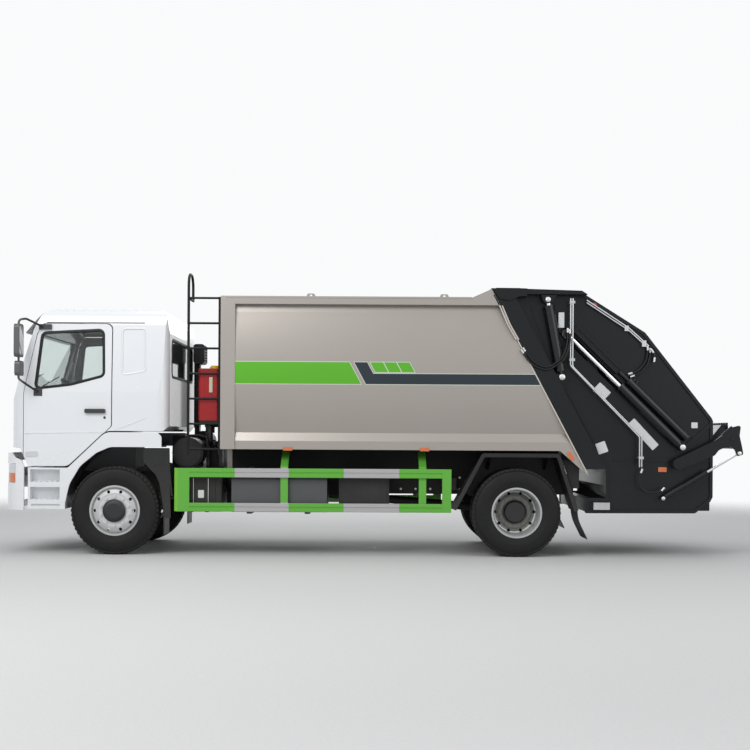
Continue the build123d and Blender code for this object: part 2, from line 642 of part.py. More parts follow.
def battery_box():
    """A ribbed box with a lid under two straps, beside the frame on the driver's side."""
    body = fillet(box(-2300, -1790, -1100, -560, 505, 905).edges().filter_by(Axis.Z), 30)
    ribs = [box(x, x + 26, -1110, -1095, 540, 860) for x in (-2250, -2180, -1900)]
    bracket = box(-2280, -1810, -565, -RAIL_Y, 720, 900)
    lid = fillet(box(-2310, -1780, -1108, -552, 870, 925).edges().filter_by(Axis.Z), 34)
    straps = [box(x, x + 40, -1116, -545, 500, 932) for x in (-2170, -1990)]
    return union([body, *ribs, lid, bracket, *straps])


def fuel_tank():
    """A rounded-square fuel tank on two brackets with its filler neck."""
    section = outline((-1110, 500, 90), (-560, 500, 90), (-560, 960, 90), (-1110, 960, 90))
    tank = along_x(section, -1680, -560)
    neck = rod((-1450, -1010, 950), (-1450, -1050, 1010), 45)
    brackets = [box(x, x + 60, -1118, -RAIL_Y, 485, 560) + box(x, x + 60, -560, -RAIL_Y, 485, 940)
                for x in (-1500, -820)]
    return union([tank, neck, *brackets])


def tool_locker():
    """A locker with a raised door behind the fuel tank."""
    body = fillet(box(-420, 170, -1090, -520, 560, 960).edges().filter_by(Axis.X), 30)
    door = fillet(box(-390, 140, -1100, -1080, 590, 930).edges().filter_by(Axis.Y), 25)
    return union([body, door, box(-400, 150, -530, -RAIL_Y, 700, 900)])


def air_tanks():
    """Two domed air tanks and the silencer on the far side, each held to the frame."""
    parts = []
    for y, z in ((640, 640), (640, 890)):
        tank = union([rod((-1500, y, z), (-700, y, z), 118),
                      Pos(-1500, y, z) * Sphere(118), Pos(-700, y, z) * Sphere(118)])
        parts.append(tank)
    straps = [box(x, x + 40, RAIL_Y, 640, 560, 950) for x in (-1350, -850)]
    silencer = along_x(outline((560, 480, 120), (1080, 480, 120), (1080, 900, 120), (560, 900, 120)),
                       -2260, -1800)
    tail = pipe([(-1830, 1000, 560), (-1700, 1000, 560), (-1640, 1000, 480), (-1640, 1150, 440)], 50, 70)
    bracket = box(-2150, -1900, RAIL_Y, 570, 640, 860)
    return [union(parts + straps), union([silencer, bracket, tail])]


def rear_mudguard():
    """A bent guard over the twin wheels with its inner wall, its stays and the flap behind."""
    over = outline((917, 556, 0), (1260, 1196, 40), (2145, 1196, 40), (2365, 545, 0), (2350, 540, 0),
                   (2134, 1181, 30), (1269, 1181, 30), (930, 548, 0))
    guard = along_y(over, 604, 1205)
    wall = along_y(sharp((1010, 708), (1264, 1188), (2140, 1188), (2300, 708)), 604, 616)
    lip = along_y(outline((905, 560, 0), (1253, 1210, 45), (2155, 1210, 45), (2378, 550, 0), (2330, 532, 0),
                          (2124, 1165, 30), (1279, 1165, 30), (950, 540, 0)), 1195, 1209)
    flap = along_y(band(10, (2350, 620, 0), (2372, 430, 400), (2478, 212, 0)), 690, 1180)
    stays = [rod((x, RAIL_Y + 30, 940), (x, 900, 1186), 22) for x in (1360, 2050)]
    feet = [box(x - 45, x + 45, RAIL_Y, RAIL_Y + 45, 890, 950) for x in (1360, 2050)]
    return union([guard, wall, lip, flap, *stays, *feet])

# Container

def curved_wall():
    """The convex side panel's face: an arc through three heights, a ledge below, a band above."""
    y = BODY_HALF
    middle = (LEDGE_Z + PANEL_TOP_Z) / 2
    low, high = (y - 58, LEDGE_Z), (y - 58, PANEL_TOP_Z)
    outside = ThreePointArc(low, (y - 8, middle), high)
    inner_low, inner_high = (y - 58 - BODY_WALL, LEDGE_Z), (y - 58 - BODY_WALL, PANEL_TOP_Z)
    inside = ThreePointArc(inner_high, (y - 8 - BODY_WALL, middle), inner_low)
    rest = [
        Polyline(high, (y - 75, ROOF_RAIL_Z), (y - 75 - BODY_WALL, ROOF_RAIL_Z), inner_high),
        Polyline(inner_low, (y - 150, FLOOR_TOP_Z), (y - 24, FLOOR_TOP_Z), low)]
    return make_face([outside, inside, *rest])


def seam_cut(shift):
    """Everything behind the slanted seam, moved along the truck by shift."""
    (x1, z1), (x0, z0) = SEAM_TOP, SEAM_BOTTOM
    slope = (x0 - x1) / (z0 - z1)
    far = 6000
    return along_y(sharp((x1 + slope * (4000 - z1) + shift, 4000), (x1 + slope * (300 - z1) + shift, 300),
                         (far, 300), (far, 4000)), -1500, 1500)


def container_sides():
    """Both convex side walls, with their bottom flange and front post, up to the rear seam."""
    wall = along_x(curved_wall(), BODY_FRONT_X + BODY_WALL, 2600)
    flange = box(BODY_FRONT_X + BODY_WALL, 2600, BODY_HALF - 110, BODY_HALF - 24, FLOOR_BOTTOM_Z, FLOOR_TOP_Z)
    rail = box(BODY_FRONT_X + BODY_WALL, 2600, BODY_HALF - 110, BODY_HALF, ROOF_RAIL_Z, ROOF_Z - 24)
    post = box(BODY_FRONT_X + BODY_WALL, POST_REAR_X, BODY_HALF - 110, BODY_HALF, FLOOR_BOTTOM_Z, ROOF_Z - 24)
    gusset = along_y(sharp((2080, FLOOR_TOP_Z), (2166, FLOOR_BOTTOM_Z - 5), (2480, 962), (2600, 962),
                           (2600, FLOOR_TOP_Z)), BODY_HALF - 60, BODY_HALF - 24)
    raised = along_y(sharp((1122, ROOF_Z - 24), (SEAM_TOP[0] + 20, SEAM_TOP[1] - 4), (1800, 3134),
                           (1800, ROOF_Z - 60), (1122, ROOF_Z - 60)), BODY_HALF - 110, BODY_HALF)
    side = union([wall, flange, rail, post, gusset, raised]) - seam_cut(0)
    return pair(side)


def container_roof():
    """The roof sheet between the two roof rails, raised towards the seam, with two lifting eyes."""
    half = BODY_HALF - 112
    sheet = along_y(sharp((BODY_FRONT_X + BODY_WALL, ROOF_Z - 60), (BODY_FRONT_X + BODY_WALL, ROOF_Z),
                          (1122, ROOF_Z), (SEAM_TOP[0] + 20, SEAM_TOP[1]), (1800, SEAM_TOP[1]),
                          (1800, SEAM_TOP[1] - 60), (1380, SEAM_TOP[1] - 60), (1135, ROOF_Z - 60)),
                    -half, half)
    cap = box(BODY_FRONT_X + BODY_WALL, 1122, -BODY_HALF, BODY_HALF, ROOF_Z - 22, ROOF_Z)
    eyes = []
    for x in (-761, 805):
        for side in (-1, 1):
            eye = along_y(outline((x - 60, ROOF_Z - 2, 0), (x - 40, ROOF_Z + 45, 20), (x + 40, ROOF_Z + 45, 20),
                                  (x + 60, ROOF_Z - 2, 0)), side * 1080 - 10, side * 1080 + 10)
            eyes.append(eye - rod((x, side * 1080 - 30, ROOF_Z + 20), (x, side * 1080 + 30, ROOF_Z + 20), 14))
    return union([sheet, cap, *eyes]) - seam_cut(0)


def container_floor():
    """The floor sheet on its cross-bearers and the two sub-frame beams that sit on the rails."""
    half = BODY_HALF - 112
    sheet = box(BODY_FRONT_X + BODY_WALL, 2600, -half, half, FLOOR_TOP_Z - 40, FLOOR_TOP_Z)
    bearers = [box(x, x + 60, -half, half, FLOOR_BOTTOM_Z, FLOOR_TOP_Z - 38) for x in range(-1700, 2100, 475)]
    beams = [box(BODY_FRONT_X + BODY_WALL, 2250, side - 40, side + 40, RAIL_TOP_Z, FLOOR_TOP_Z - 38)
             for side in (-390, 390)]
    return union([sheet, *bearers, *beams]) - seam_cut(0)


def container_front():
    """The front wall with two upright stiffeners."""
    wall = box(BODY_FRONT_X, BODY_FRONT_X + BODY_WALL, -BODY_HALF, BODY_HALF, FLOOR_BOTTOM_Z, ROOF_Z)
    ribs = [box(BODY_FRONT_X - 40, BODY_FRONT_X, y - 40, y + 40, FLOOR_BOTTOM_Z, ROOF_Z) for y in (-500, 500)]
    foot = box(BODY_FRONT_X, BODY_FRONT_X + BODY_WALL, -430, 430, RAIL_TOP_Z, FLOOR_BOTTOM_Z)
    return union([wall, *ribs, foot])


def slanted(low, high, front, rear):
    """The side view of a slanted bar: between two heights, front and rear measured from the seam."""
    (x1, z1), (x0, z0) = SEAM_TOP, SEAM_BOTTOM
    slope = (x0 - x1) / (z0 - z1)
    lower, upper = x1 + slope * (low - z1), x1 + slope * (high - z1)
    return sharp((lower + front, low), (upper + front, high), (upper + rear, high), (lower + rear, low))


def rear_frame():
    """The slanted rear frame that the hopper closes on, with the lugs of the lift cylinders."""
    ring = along_y(slanted(1030, 3134, 0, 230), -BODY_HALF, BODY_HALF)
    hole = along_y(slanted(FLOOR_TOP_Z, 2950, -50, 300), -BODY_HALF + 170, BODY_HALF - 170)
    pin_hole = rod((HINGE[0], -1300, HINGE[1]), (HINGE[0], 1300, HINGE[1]), 30)
    lug = outline((2050, 2128, 0), (2140, 2143, 20), (2208, 2128, 30), (2200, 2058, 30), (2080, 2030, 0))
    lugs = [along_y(lug, y, y + 14) for y in LIFT_LUG_Y]
    x, z = LIFT_BOTTOM
    pin = rod((x, LIFT_LUG_Y[0] - 4, z), (x, LIFT_LUG_Y[1] + 20, z), 25)
    side = union([*lugs, pin])
    return union([ring - hole - pin_hole, side, flipped(side)])


# Hopper

def on_guide(down, up):
    """A point given along the packer's guide from the rod's eye, and square to it."""
    x, z = SLIDE_ROD_EYE
    return (x + GUIDE_X * down - GUIDE_Z * up, z + GUIDE_Z * down + GUIDE_X * up)


def seam_x(z, shift):
    """The slanted seam's place along the truck at a height, moved back by shift."""
    (x1, z1), (x0, z0) = SEAM_TOP, SEAM_BOTTOM
    return x1 + (x0 - x1) * (z - z1) / (z0 - z1) + shift


def hopper_profile():
    """The side sheet's edge, from the hinge round the cover and the rear to the foot."""
    clear = FRAME_SHIFT + 10
    return outline(
        (seam_x(3134, clear), 3134, 0), (2402, 3111, 60), (3163, 2635, 60), (3949, 1635, 60),
        (3964, 1600, 0), (3964, 708, 40), (3937, 655, 20), (3758, 517, 60), (2470, 512, 20),
        (2470, 690, 0), (seam_x(1015, clear), 690, 0), (seam_x(1015, clear), 1015, 0))


def hopper_sides():
    """Each side sheet with its edge flanges, hinge tongue, lift lugs, ribs and the packer's slot."""
    inner = HOPPER_HALF - SIDE_SHEET
    profile = hopper_profile()
    sheet = along_y(profile, inner, HOPPER_HALF)
    rim_strip = profile - offset(profile, amount=-36, kind=Kind.INTERSECTION)
    rim_strip = along_y(rim_strip, HOPPER_HALF - 1, HOPPER_HALF + 22)
    rim_strip = rim_strip - along_y(slanted(1100, 3060, 200, 300), HOPPER_HALF - 10, HOPPER_HALF + 30)
    slot_ends = [on_guide(-75, 52), on_guide(SLIDE_TRAVEL + 75, 52), on_guide(SLIDE_TRAVEL + 75, -52),
                 on_guide(-75, -52)]
    slot = along_y(sharp(*slot_ends), inner - 10, HOPPER_HALF + 40)
    beam = along_y(sharp((seam_x(3134, 240), 3134), (2402, 3111), (2470, 3068),
                         (seam_x(3070, 240), 3068)), inner, HOPPER_HALF + 130)
    tongue = outline((1350, 3136, 30), (1680, 3134, 0), (1700, 3050, 0), (1560, 2990, 60), (1440, 3010, 60))
    tongue = along_y(tongue, BODY_HALF + 6, HOPPER_OUTER_Y)
    bridge = along_y(sharp((1625, 3134), (1760, 3130), (1760, 3040), (1672, 3040)), inner, HOPPER_OUTER_Y)
    pin = rod((HINGE[0], BODY_HALF - 60, HINGE[1]), (HINGE[0], HOPPER_OUTER_Y, HINGE[1]), 24)
    lug = outline((1930, 3060, 0), (1955, 2975, 40), (2060, 2965, 50), (2110, 3060, 0))
    lugs = [along_y(lug, y, y + 14) for y in LIFT_LUG_Y]
    rail = along_y(sharp(on_guide(20, SECOND_UP - 44), on_guide(740, SECOND_UP - 44),
                         on_guide(740, SECOND_UP + 44), on_guide(20, SECOND_UP + 44)),
                   HOPPER_HALF - 1, SECOND_Y + 30)
    groove = along_y(sharp(on_guide(60, SECOND_UP - 18), on_guide(800, SECOND_UP - 18),
                           on_guide(800, SECOND_UP + 18), on_guide(60, SECOND_UP + 18)),
                     SECOND_Y + 14, SECOND_Y + 60)
    foot_rib = along_y(sharp((2800, 1145), (3964, 1145), (3964, 1125), (2800, 1125)), HOPPER_HALF - 1,
                       HOPPER_HALF + 12)
    brace = along_y(sharp((3566, 1262), (3596, 1232), (3952, 1546), (3924, 1578)), HOPPER_HALF - 1,
                    HOPPER_HALF + 16)
    slide_lug = outline((3530, 1230, 0), (3560, 1350, 40), (3650, 1300, 40), (3640, 1230, 0))
    slide_lug = along_y(slide_lug, HOPPER_HALF - 1, HOPPER_HALF + 12)
    pivot = rod((LIFTER_PIVOT[0], inner, LIFTER_PIVOT[1]),
                (LIFTER_PIVOT[0], LIFTER_CYLINDER_Y - 38, LIFTER_PIVOT[1]), 46)
    axle = rod((LIFTER_PIVOT[0], inner, LIFTER_PIVOT[1]),
               (LIFTER_PIVOT[0], ARM_Y + ARM_THICK, LIFTER_PIVOT[1]), 22)
    cylinder_pin = rod((LIFTER_CYLINDER[0], inner, LIFTER_CYLINDER[1]),
                       (LIFTER_CYLINDER[0], LIFTER_CYLINDER_Y + 34, LIFTER_CYLINDER[1]), 12)
    return union([sheet - slot, rim_strip, beam, tongue, bridge, pin, *lugs, rail - groove, foot_rib, brace,
                  slide_lug, pivot, axle, cylinder_pin])


def hopper_cover():
    """The folded sheet over the packer from the hinge beam down to the loading opening."""
    top = [(seam_x(3100, 250), 3096), *[(x - 10, z - 22) for x, z in COVER]]
    sheet = band(14, *[(x, z, 30) for x, z in top])
    half = HOPPER_HALF - SIDE_SHEET
    sheet = along_y(sheet, -half, half)
    x, z = COVER[-1][0] - 26, COVER[-1][1] - 30
    end_tube = rod((x, -half, z), (x, half, z), 32)
    front_beam = along_y(slanted(2960, 3098, 245, 320), -half, half)
    return union([sheet, end_tube, front_beam])


def hopper_tub():
    """The curved loading tub: a sheet round the blade's path, its ramp, sill and lower beams."""
    half = HOPPER_HALF - SIDE_SHEET
    x, z = TUB_CENTRE

    def at(degrees, radius):
        angle = math.radians(degrees)
        return (x + radius * math.cos(angle), z + radius * math.sin(angle))

    ramp_top = (seam_x(FLOOR_TOP_Z, 262), FLOOR_TOP_Z)
    ramp_foot = (seam_x(1010, 262), 1010)
    inner, outer = TUB_RADIUS, TUB_RADIUS + 18
    wall = make_face([
        ThreePointArc(at(-14, inner), at(-75, inner), at(-140, inner)),
        Polyline(at(-140, inner), (ramp_foot[0] + 12, ramp_foot[1]), (ramp_top[0] + 12, ramp_top[1]),
                 (ramp_top[0] - 8, ramp_top[1]), (ramp_foot[0] - 8, ramp_foot[1]), at(-140, outer)),
        ThreePointArc(at(-140, outer), at(-75, outer), at(-14, outer)),
        Polyline(at(-14, outer), at(-14, inner))])
    sheet = along_y(wall, -half, half)
    sill = along_y(outline((SILL[0] - 30, SILL[1] - 40, 0), (SILL[0] - 22, SILL[1], 12), (3964, SILL[1], 12),
                           (3964, 1040, 0), (3950, 1040, 0), (3948, SILL[1] - 24, 0)), -half, half)
    rear_panel = box(3940, 3956, -half, half, 700, 1110)
    lower_beam = box(3700, 3940, -half, half, 545, 640)
    front_beam = box(2480, 2600, -half, half, 530, 680)
    keel = [box(2590, 3720, side - 25, side + 25, 540, 612) for side in (-500, 500)]
    struts = [along_y(sharp((3700, 600), (3950, 724), (3950, 650), (3760, 560)), side - 12, side + 12)
              for side in (-1048, -400, 400, 1048)]
    return union([sheet, sill, rear_panel, lower_beam, front_beam, *keel, *struts])


# Packer, cylinders and lifter

def jack(foot, head, y, barrel, rod_radius, length, piston, foot_width, eye, eye_width, hole):
    """A hydraulic cylinder as two solids: the barrel with its foot eye, and the rod with its own."""
    start, end = (foot[0], y, foot[1]), (head[0], y, head[1])
    span = math.dist(start, end)

    def at(reach):
        return between(start, end, reach / span)

    def cross_pin(point, half, radius):
        return rod((point[0], y - half, point[1]), (point[0], y + half, point[1]), radius)

    base, ring = 1.15 * barrel, length - 0.5 * barrel
    tube = union([rod(at(base), at(length), barrel), rod(start, at(base), 0.46 * foot_width),
                  rod(at(ring), at(length), barrel + 7), cross_pin(foot, foot_width / 2, 0.68 * barrel)])
    tube = tube.cut(rod(at(base + 30), at(ring), 0.75 * barrel), rod(at(ring - 5), end, rod_radius + 1),
                    cross_pin(foot, foot_width, 0.42 * barrel))
    plunger = union([rod(at(piston), end, rod_radius), rod(at(piston), at(piston + 40), 0.75 * barrel - 1),
                     cross_pin(head, eye_width / 2, eye)])
    if hole:
        plunger = plunger - cross_pin(head, eye_width, hole)
    return tube, plunger


def second_cylinder():
    """The cylinder beside the slide's: its barrel on two saddles, its rod's end in the rail, on +Y."""
    def at(down, up=SECOND_UP, y=SECOND_Y):
        x, z = on_guide(down, up)
        return (x, y, z)

    barrel = union([rod(at(900), at(1850), 46), rod(at(894), at(930), 52), rod(at(1835), at(1858), 52),
                    rod(at(752), at(900), 20)])
    saddles = [along_y(sharp(on_guide(down, SECOND_UP - 40), on_guide(down + 50, SECOND_UP - 40),
                             on_guide(down + 50, SECOND_UP + 40), on_guide(down, SECOND_UP + 40)),
                       HOPPER_HALF, SECOND_Y) for down in (980, 1740)]
    ports = [rod(at(down, SECOND_UP + 30), at(down, SECOND_UP + 74), 15) for down in (950, 990)]
    return union([barrel, *saddles, *ports])


def slide_plate():
    """The packer's carriage: a ribbed plate with its trunnions, shoes and the blade's hinge ears."""
    half = HOPPER_HALF - SIDE_SHEET - 12
    plate = along_y(sharp(on_guide(-70, 44), on_guide(420, 44), (BLADE_HINGE[0] + 30, BLADE_HINGE[1] + 90),
                          (BLADE_HINGE[0] - 40, BLADE_HINGE[1] + 70), on_guide(380, -30),
                          on_guide(-70, -30)), -half, half)
    ribs = [along_y(sharp(on_guide(-40, 40), on_guide(60, 150), on_guide(420, 150), on_guide(560, 40)),
                    side - 10, side + 10) for side in (-900, -450, 0, 450, 900)]
    ears = []
    for side in (-1, 1):
        for y in (300, 760):
            ear = outline((BLADE_HINGE[0] - 46, BLADE_HINGE[1] - 40, 40),
                          (BLADE_HINGE[0] + 46, BLADE_HINGE[1] - 40, 40),
                          (BLADE_HINGE[0] + 60, BLADE_HINGE[1] + 110, 0),
                          (BLADE_HINGE[0] - 60, BLADE_HINGE[1] + 110, 0))
            ears.append(along_y(ear, side * y - 15, side * y + 15))
    tube = rod((BLADE_HINGE[0], -half + 60, BLADE_HINGE[1]), (BLADE_HINGE[0], half - 60, BLADE_HINGE[1]), 27)
    x, z = SLIDE_ROD_EYE
    trunnion = rod((x, -SLIDE_CYLINDER_Y - 36, z), (x, SLIDE_CYLINDER_Y + 36, z), TRUNNION_RADIUS)
    return union([plate, *ribs, *ears, tube, trunnion])


def blade():
    """The packing blade: a curved box section hung from bushes, with a toothed lower edge."""
    half = HOPPER_HALF - SIDE_SHEET - 15
    x, z = BLADE_HINGE
    tip_angle = math.radians(-80)

    def at(out, side):
        return (x + out * math.cos(tip_angle) - side * math.sin(tip_angle),
                z + out * math.sin(tip_angle) + side * math.cos(tip_angle))

    section = outline((*at(70, -45), 0), (*at(70, 50), 0), (*at(400, 120), 200), (*at(BLADE_LENGTH - 30, 20), 0),
                      (*at(BLADE_LENGTH - 30, -6), 0), (*at(380, 10), 300))
    body = along_y(section, -half, half)
    arms = []
    for side in (-1, 1):
        for y in (240, 820):
            bush = rod((x, side * y - 36, z), (x, side * y + 36, z), 56)
            web = along_y(sharp(at(0, -52), at(0, 52), at(110, 52), at(110, -45)), side * y - 36, side * y + 36)
            arms += [bush, web]
    teeth = [along_y(sharp(at(BLADE_LENGTH - 40, -6), at(BLADE_LENGTH - 40, 20), at(BLADE_LENGTH, 10),
                           at(BLADE_LENGTH, -6)), y - 45, y + 45) for y in range(-900, 901, 225)]
    hole = rod((x, -half - 10, z), (x, half + 10, z), 28)
    return union([body, *arms, *teeth]) - hole


def ejector():
    """The container's ejector: a dished plate with side wings and a braced foot on the floor."""
    half = BODY_HALF - 165
    face = outline((-1500, 1352, 0), (-1420, 1352, 0), (-1330, 1700, 300), (-1330, 2400, 300),
                   (-1420, 2880, 0), (-1450, 2880, 0), (-1365, 2400, 300), (-1365, 1700, 300))
    plate = along_y(face, -half, half)
    frames = [along_y(sharp((-1690, 1352), (-1400, 1352), (-1360, 1900), (-1420, 1900)), side - 20, side + 20)
              for side in (-700, 0, 700)]
    shoes = [box(-1700, -1380, side - 60, side + 60, 1346, 1372) for side in (-700, 0, 700)]
    return union([plate, *frames, *shoes])


def lifter_arms():
    """Both hooked arms, the cross tube behind the hopper and the toothed comb that takes the bins."""
    x, z = LIFTER_PIVOT
    tube_x, tube_z = x + 713, z + 200
    outer = ARM_Y + ARM_THICK
    plate = outline(
        (3508, 1156, 0), (3962, 1378, 90), (4150, 1528, 40), (4256, 1556, 24), (4240, 1430, 90),
        (4270, 1300, 90), (4286, 1208, 24), (4214, 1196, 18), (4186, 1266, 50), (4122, 1314, 60),
        (4000, 1262, 60), (3950, 1196, 90), (3562, 1042, 0))
    boss = rod((x, ARM_Y, z), (x, outer, z), 63)
    head_boss = rod((4150, outer - 2, 1392), (4150, outer + 8, 1392), 27)
    bar = along_y(sharp((4030, 1452), (4050, 1432), (4158, 1528), (4140, 1546)), outer - 2, outer + 10)
    hole = rod((x, ARM_Y - 10, z), (x, outer + 20, z), 23)
    arm = union([along_y(plate, ARM_Y, outer), boss, head_boss, bar]) - hole
    tube = rod((tube_x, -1160, tube_z), (tube_x, 1160, tube_z), 24)
    end_plate = along_y(outline((tube_x - 30, tube_z - 24, 20), (tube_x + 24, tube_z - 24, 20),
                                (tube_x - 8, tube_z + 200, 20), (tube_x - 84, tube_z + 200, 20)), 1148, 1160)
    stub = rod((tube_x - 50, 1150, tube_z + 170), (tube_x - 50, ARM_Y + 2, tube_z + 170), 22)
    tray = along_y(sharp((4030, 1388), (4166, 1560), (4250, 1560), (4250, 1300), (4236, 1300),
                         (4236, 1546), (4172, 1546), (4042, 1378)), -700, 700)
    teeth = [along_y(outline((4226, 1550, 0), (4232, 1590, 6), (4250, 1590, 8), (4250, 1550, 0)),
                     y - 18, y + 18) for y in range(-672, 673, 84)]
    ribs = [along_y(sharp((tube_x - 20, tube_z - 12), (tube_x + 6, tube_z - 12), (4245, 1555), (4170, 1555),
                          (4036, 1385), (4080, 1350), (4170, 1330)), side - 8, side + 8)
            for side in (-660, -330, 0, 330, 660)]
    return union([arm, flipped(arm), tube, *pair(end_plate), *pair(stub), tray, *teeth, *ribs])


# Small assemblies between the cab and the container, pipes and lamps

def ladder():
    """The access ladder on the driver's side: two round rails, seven rungs and a hooped top."""
    y, r = LADDER_Y, 16
    left, right = LADDER_LEFT_X, LADDER_RIGHT_X
    heights = [1240 + step * 295 for step in range(7)]
    top, hoop = heights[-1], 3317 - r
    rungs = [rod((left, y, z), (right, y, z), 13) for z in heights]
    left_rail = pipe([(left, y, 1170), (left, y, hoop), (left, y + 380, hoop), (left, y + 380, top)], r, 150)
    right_rail = rod((right, y, 1170), (right, y, top + 14), r)
    link = rod((left, y, top), (left, y + 392, top), 14)
    plates = [box(right - 4, BODY_FRONT_X, y - 40, y + 40, z - 40, z + 40) for z in (1400, 2900)]
    return union([*rungs, left_rail, right_rail, link, *plates])


def oil_tank():
    """The hydraulic tank on its shelf, with its filler, the sight gauge's housing and its outlet."""
    section = outline((-2080, -1080, 40), (-1832, -1080, 40), (-1832, -620, 40), (-2080, -620, 40))
    tank = along_z(section, 1576, 2170)
    flange = along_z(outline((-2084, -1084, 44), (-1828, -1084, 44), (-1828, -616, 44), (-2084, -616, 44)),
                     2160, 2187)
    cap = union([Pos(-1900, -930, 2187) * Cylinder(64, 44), Pos(-1900, -930, 2214) * Cylinder(50, 24)])
    gauge = box(-1951, -1912, -1090, -1076, 1905, 2085)
    shelf = box(-2070, -1845, -1060, -500, 1540, 1578)
    legs = [box(x, x + 40, y, y + 40, RAIL_TOP_Z, 1545) for x in (-2060, -1900) for y in (-470, -390)]
    cross = box(-2060, -1860, -620, -385, 1500, 1545)
    outlet = pipe([(-1960, -900, 1545), (-1960, -900, 1320), (-1960, -480, 1250)], 34, 90)
    valve = rod((-1960, -900, 1430), (-1960, -900, 1500), 54)
    return union([tank, flange, cap, gauge, shelf, *legs, cross, outlet, valve])


def air_intake():
    """The engine's raised intake duct behind the cab, its filter and the cleaner on the near side."""
    y = 760
    duct = fillet(box(-2372, -2296, y - 90, y + 90, 1500, 2400).edges().filter_by(Axis.Z), 30)
    head = fillet(box(-2372, -2226, y - 150, y + 150, 2330, 2590).edges().filter_by(Axis.Y), 40)
    slots = [box(-2250, -2180, y - 130, y + 130, z, z + 18) for z in range(2370, 2560, 36)]
    pot = rod((-2250, y - 60, 1330), (-2250, y + 330, 1330), 130)
    neck = box(-2360, -2300, y - 70, y + 70, 1330, 1510)
    foot = box(-2300, -2200, RAIL_Y - 60, y - 40, RAIL_TOP_Z, 1260)
    hood = along_y(outline((-1990, 2330, 20), (-1940, 2620, 60), (-1850, 2640, 20), (-1850, 2330, 0)), 560, 900)
    hood_foot = box(-1960, -1840, 600, 860, 1480, 2335)
    hood_bracket = box(-1900, BODY_FRONT_X, 640, 820, 1700, 1800)
    cleaner = union([rod((-2235, -830, 1190), (-2235, -470, 1190), 185),
                     rod((-2235, -850, 1190), (-2235, -820, 1190), 165),
                     box(-2330, -2140, -700, -380, RAIL_TOP_Z, 1120)])
    return [union([duct, head.cut(*slots), pot, neck, foot]), union([hood, hood_foot, hood_bracket]), cleaner]


def hopper_pipes():
    """Pipes and hoses down the hopper's side with their clips and valve blocks, on the +Y side."""
    y = HOPPER_HALF + 138
    side = HOPPER_HALF
    parts = []
    for step in (0, 26):
        parts.append(pipe([(2270 + step, y, 3020), (2270 + step, y, 2236 - step * 0.4),
                           (3080 + step, y, 1408), (3080 + step, y, 1060)], 9, 60))
    clips = [box(2258, 2320, side, y + 12, 2960, 2990), box(2258, 2320, side, y + 12, 2290, 2320),
             box(3068, 3128, side, y + 12, 1152, 1182)]
    slope = []
    for step in (0, 30):
        low = side + 40
        slope.append(pipe([(2470, low, 3010 - step), (2967, low, 2686 - step), (3200, low, 2476 - step)], 9, 60))
    slope_clips = [box(2915, 2962, side, side + 55, 2650, 2712), box(3120, 3170, side, side + 55, 2468, 2540)]
    valve = box(2140, 2206, side, side + 62, 2684, 2862)
    foot_valve = box(2560, 2750, side, side + 70, 556, 640)
    return [union([*parts, *clips]), union([*slope, *slope_clips]), valve, foot_valve]


def tail_lamps():
    """Two three-lens lamp clusters low on the hopper's rear panel and two round ones above."""
    parts = []
    for side in (-1, 1):
        low, high = sorted((side * 620, side * 980))
        parts.append(fillet(box(3956, 3986, low, high, 740, 850).edges().filter_by(Axis.X), 18))
    return parts


def marker_lamps():
    """Amber side markers under the container, at the gusset and low on the hopper, on the +Y side."""
    rows = [(-1073, -962, 1229, 1268), (525, 634, 1229, 1268)]
    y = BODY_HALF - 24
    markers = [along_y(outline((x0, z0, 8), (x1, z0, 8), (x1, z1, 8), (x0, z1, 8)), y, y + 16)
               for x0, x1, z0, z1 in rows]
    tilted = outline((2236, 1216, 8), (2274, 1238, 8), (2330, 1146, 8), (2292, 1124, 8))
    return [*markers, along_y(tilted, y, y + 16)]


def engine_block():
    """The engine and gearbox as one plain block under the cab's tunnel."""
    return union([box(-3950, -2950, -330, 330, 620, 1380), box(-2960, -2080, -210, 210, 640, 1000)])


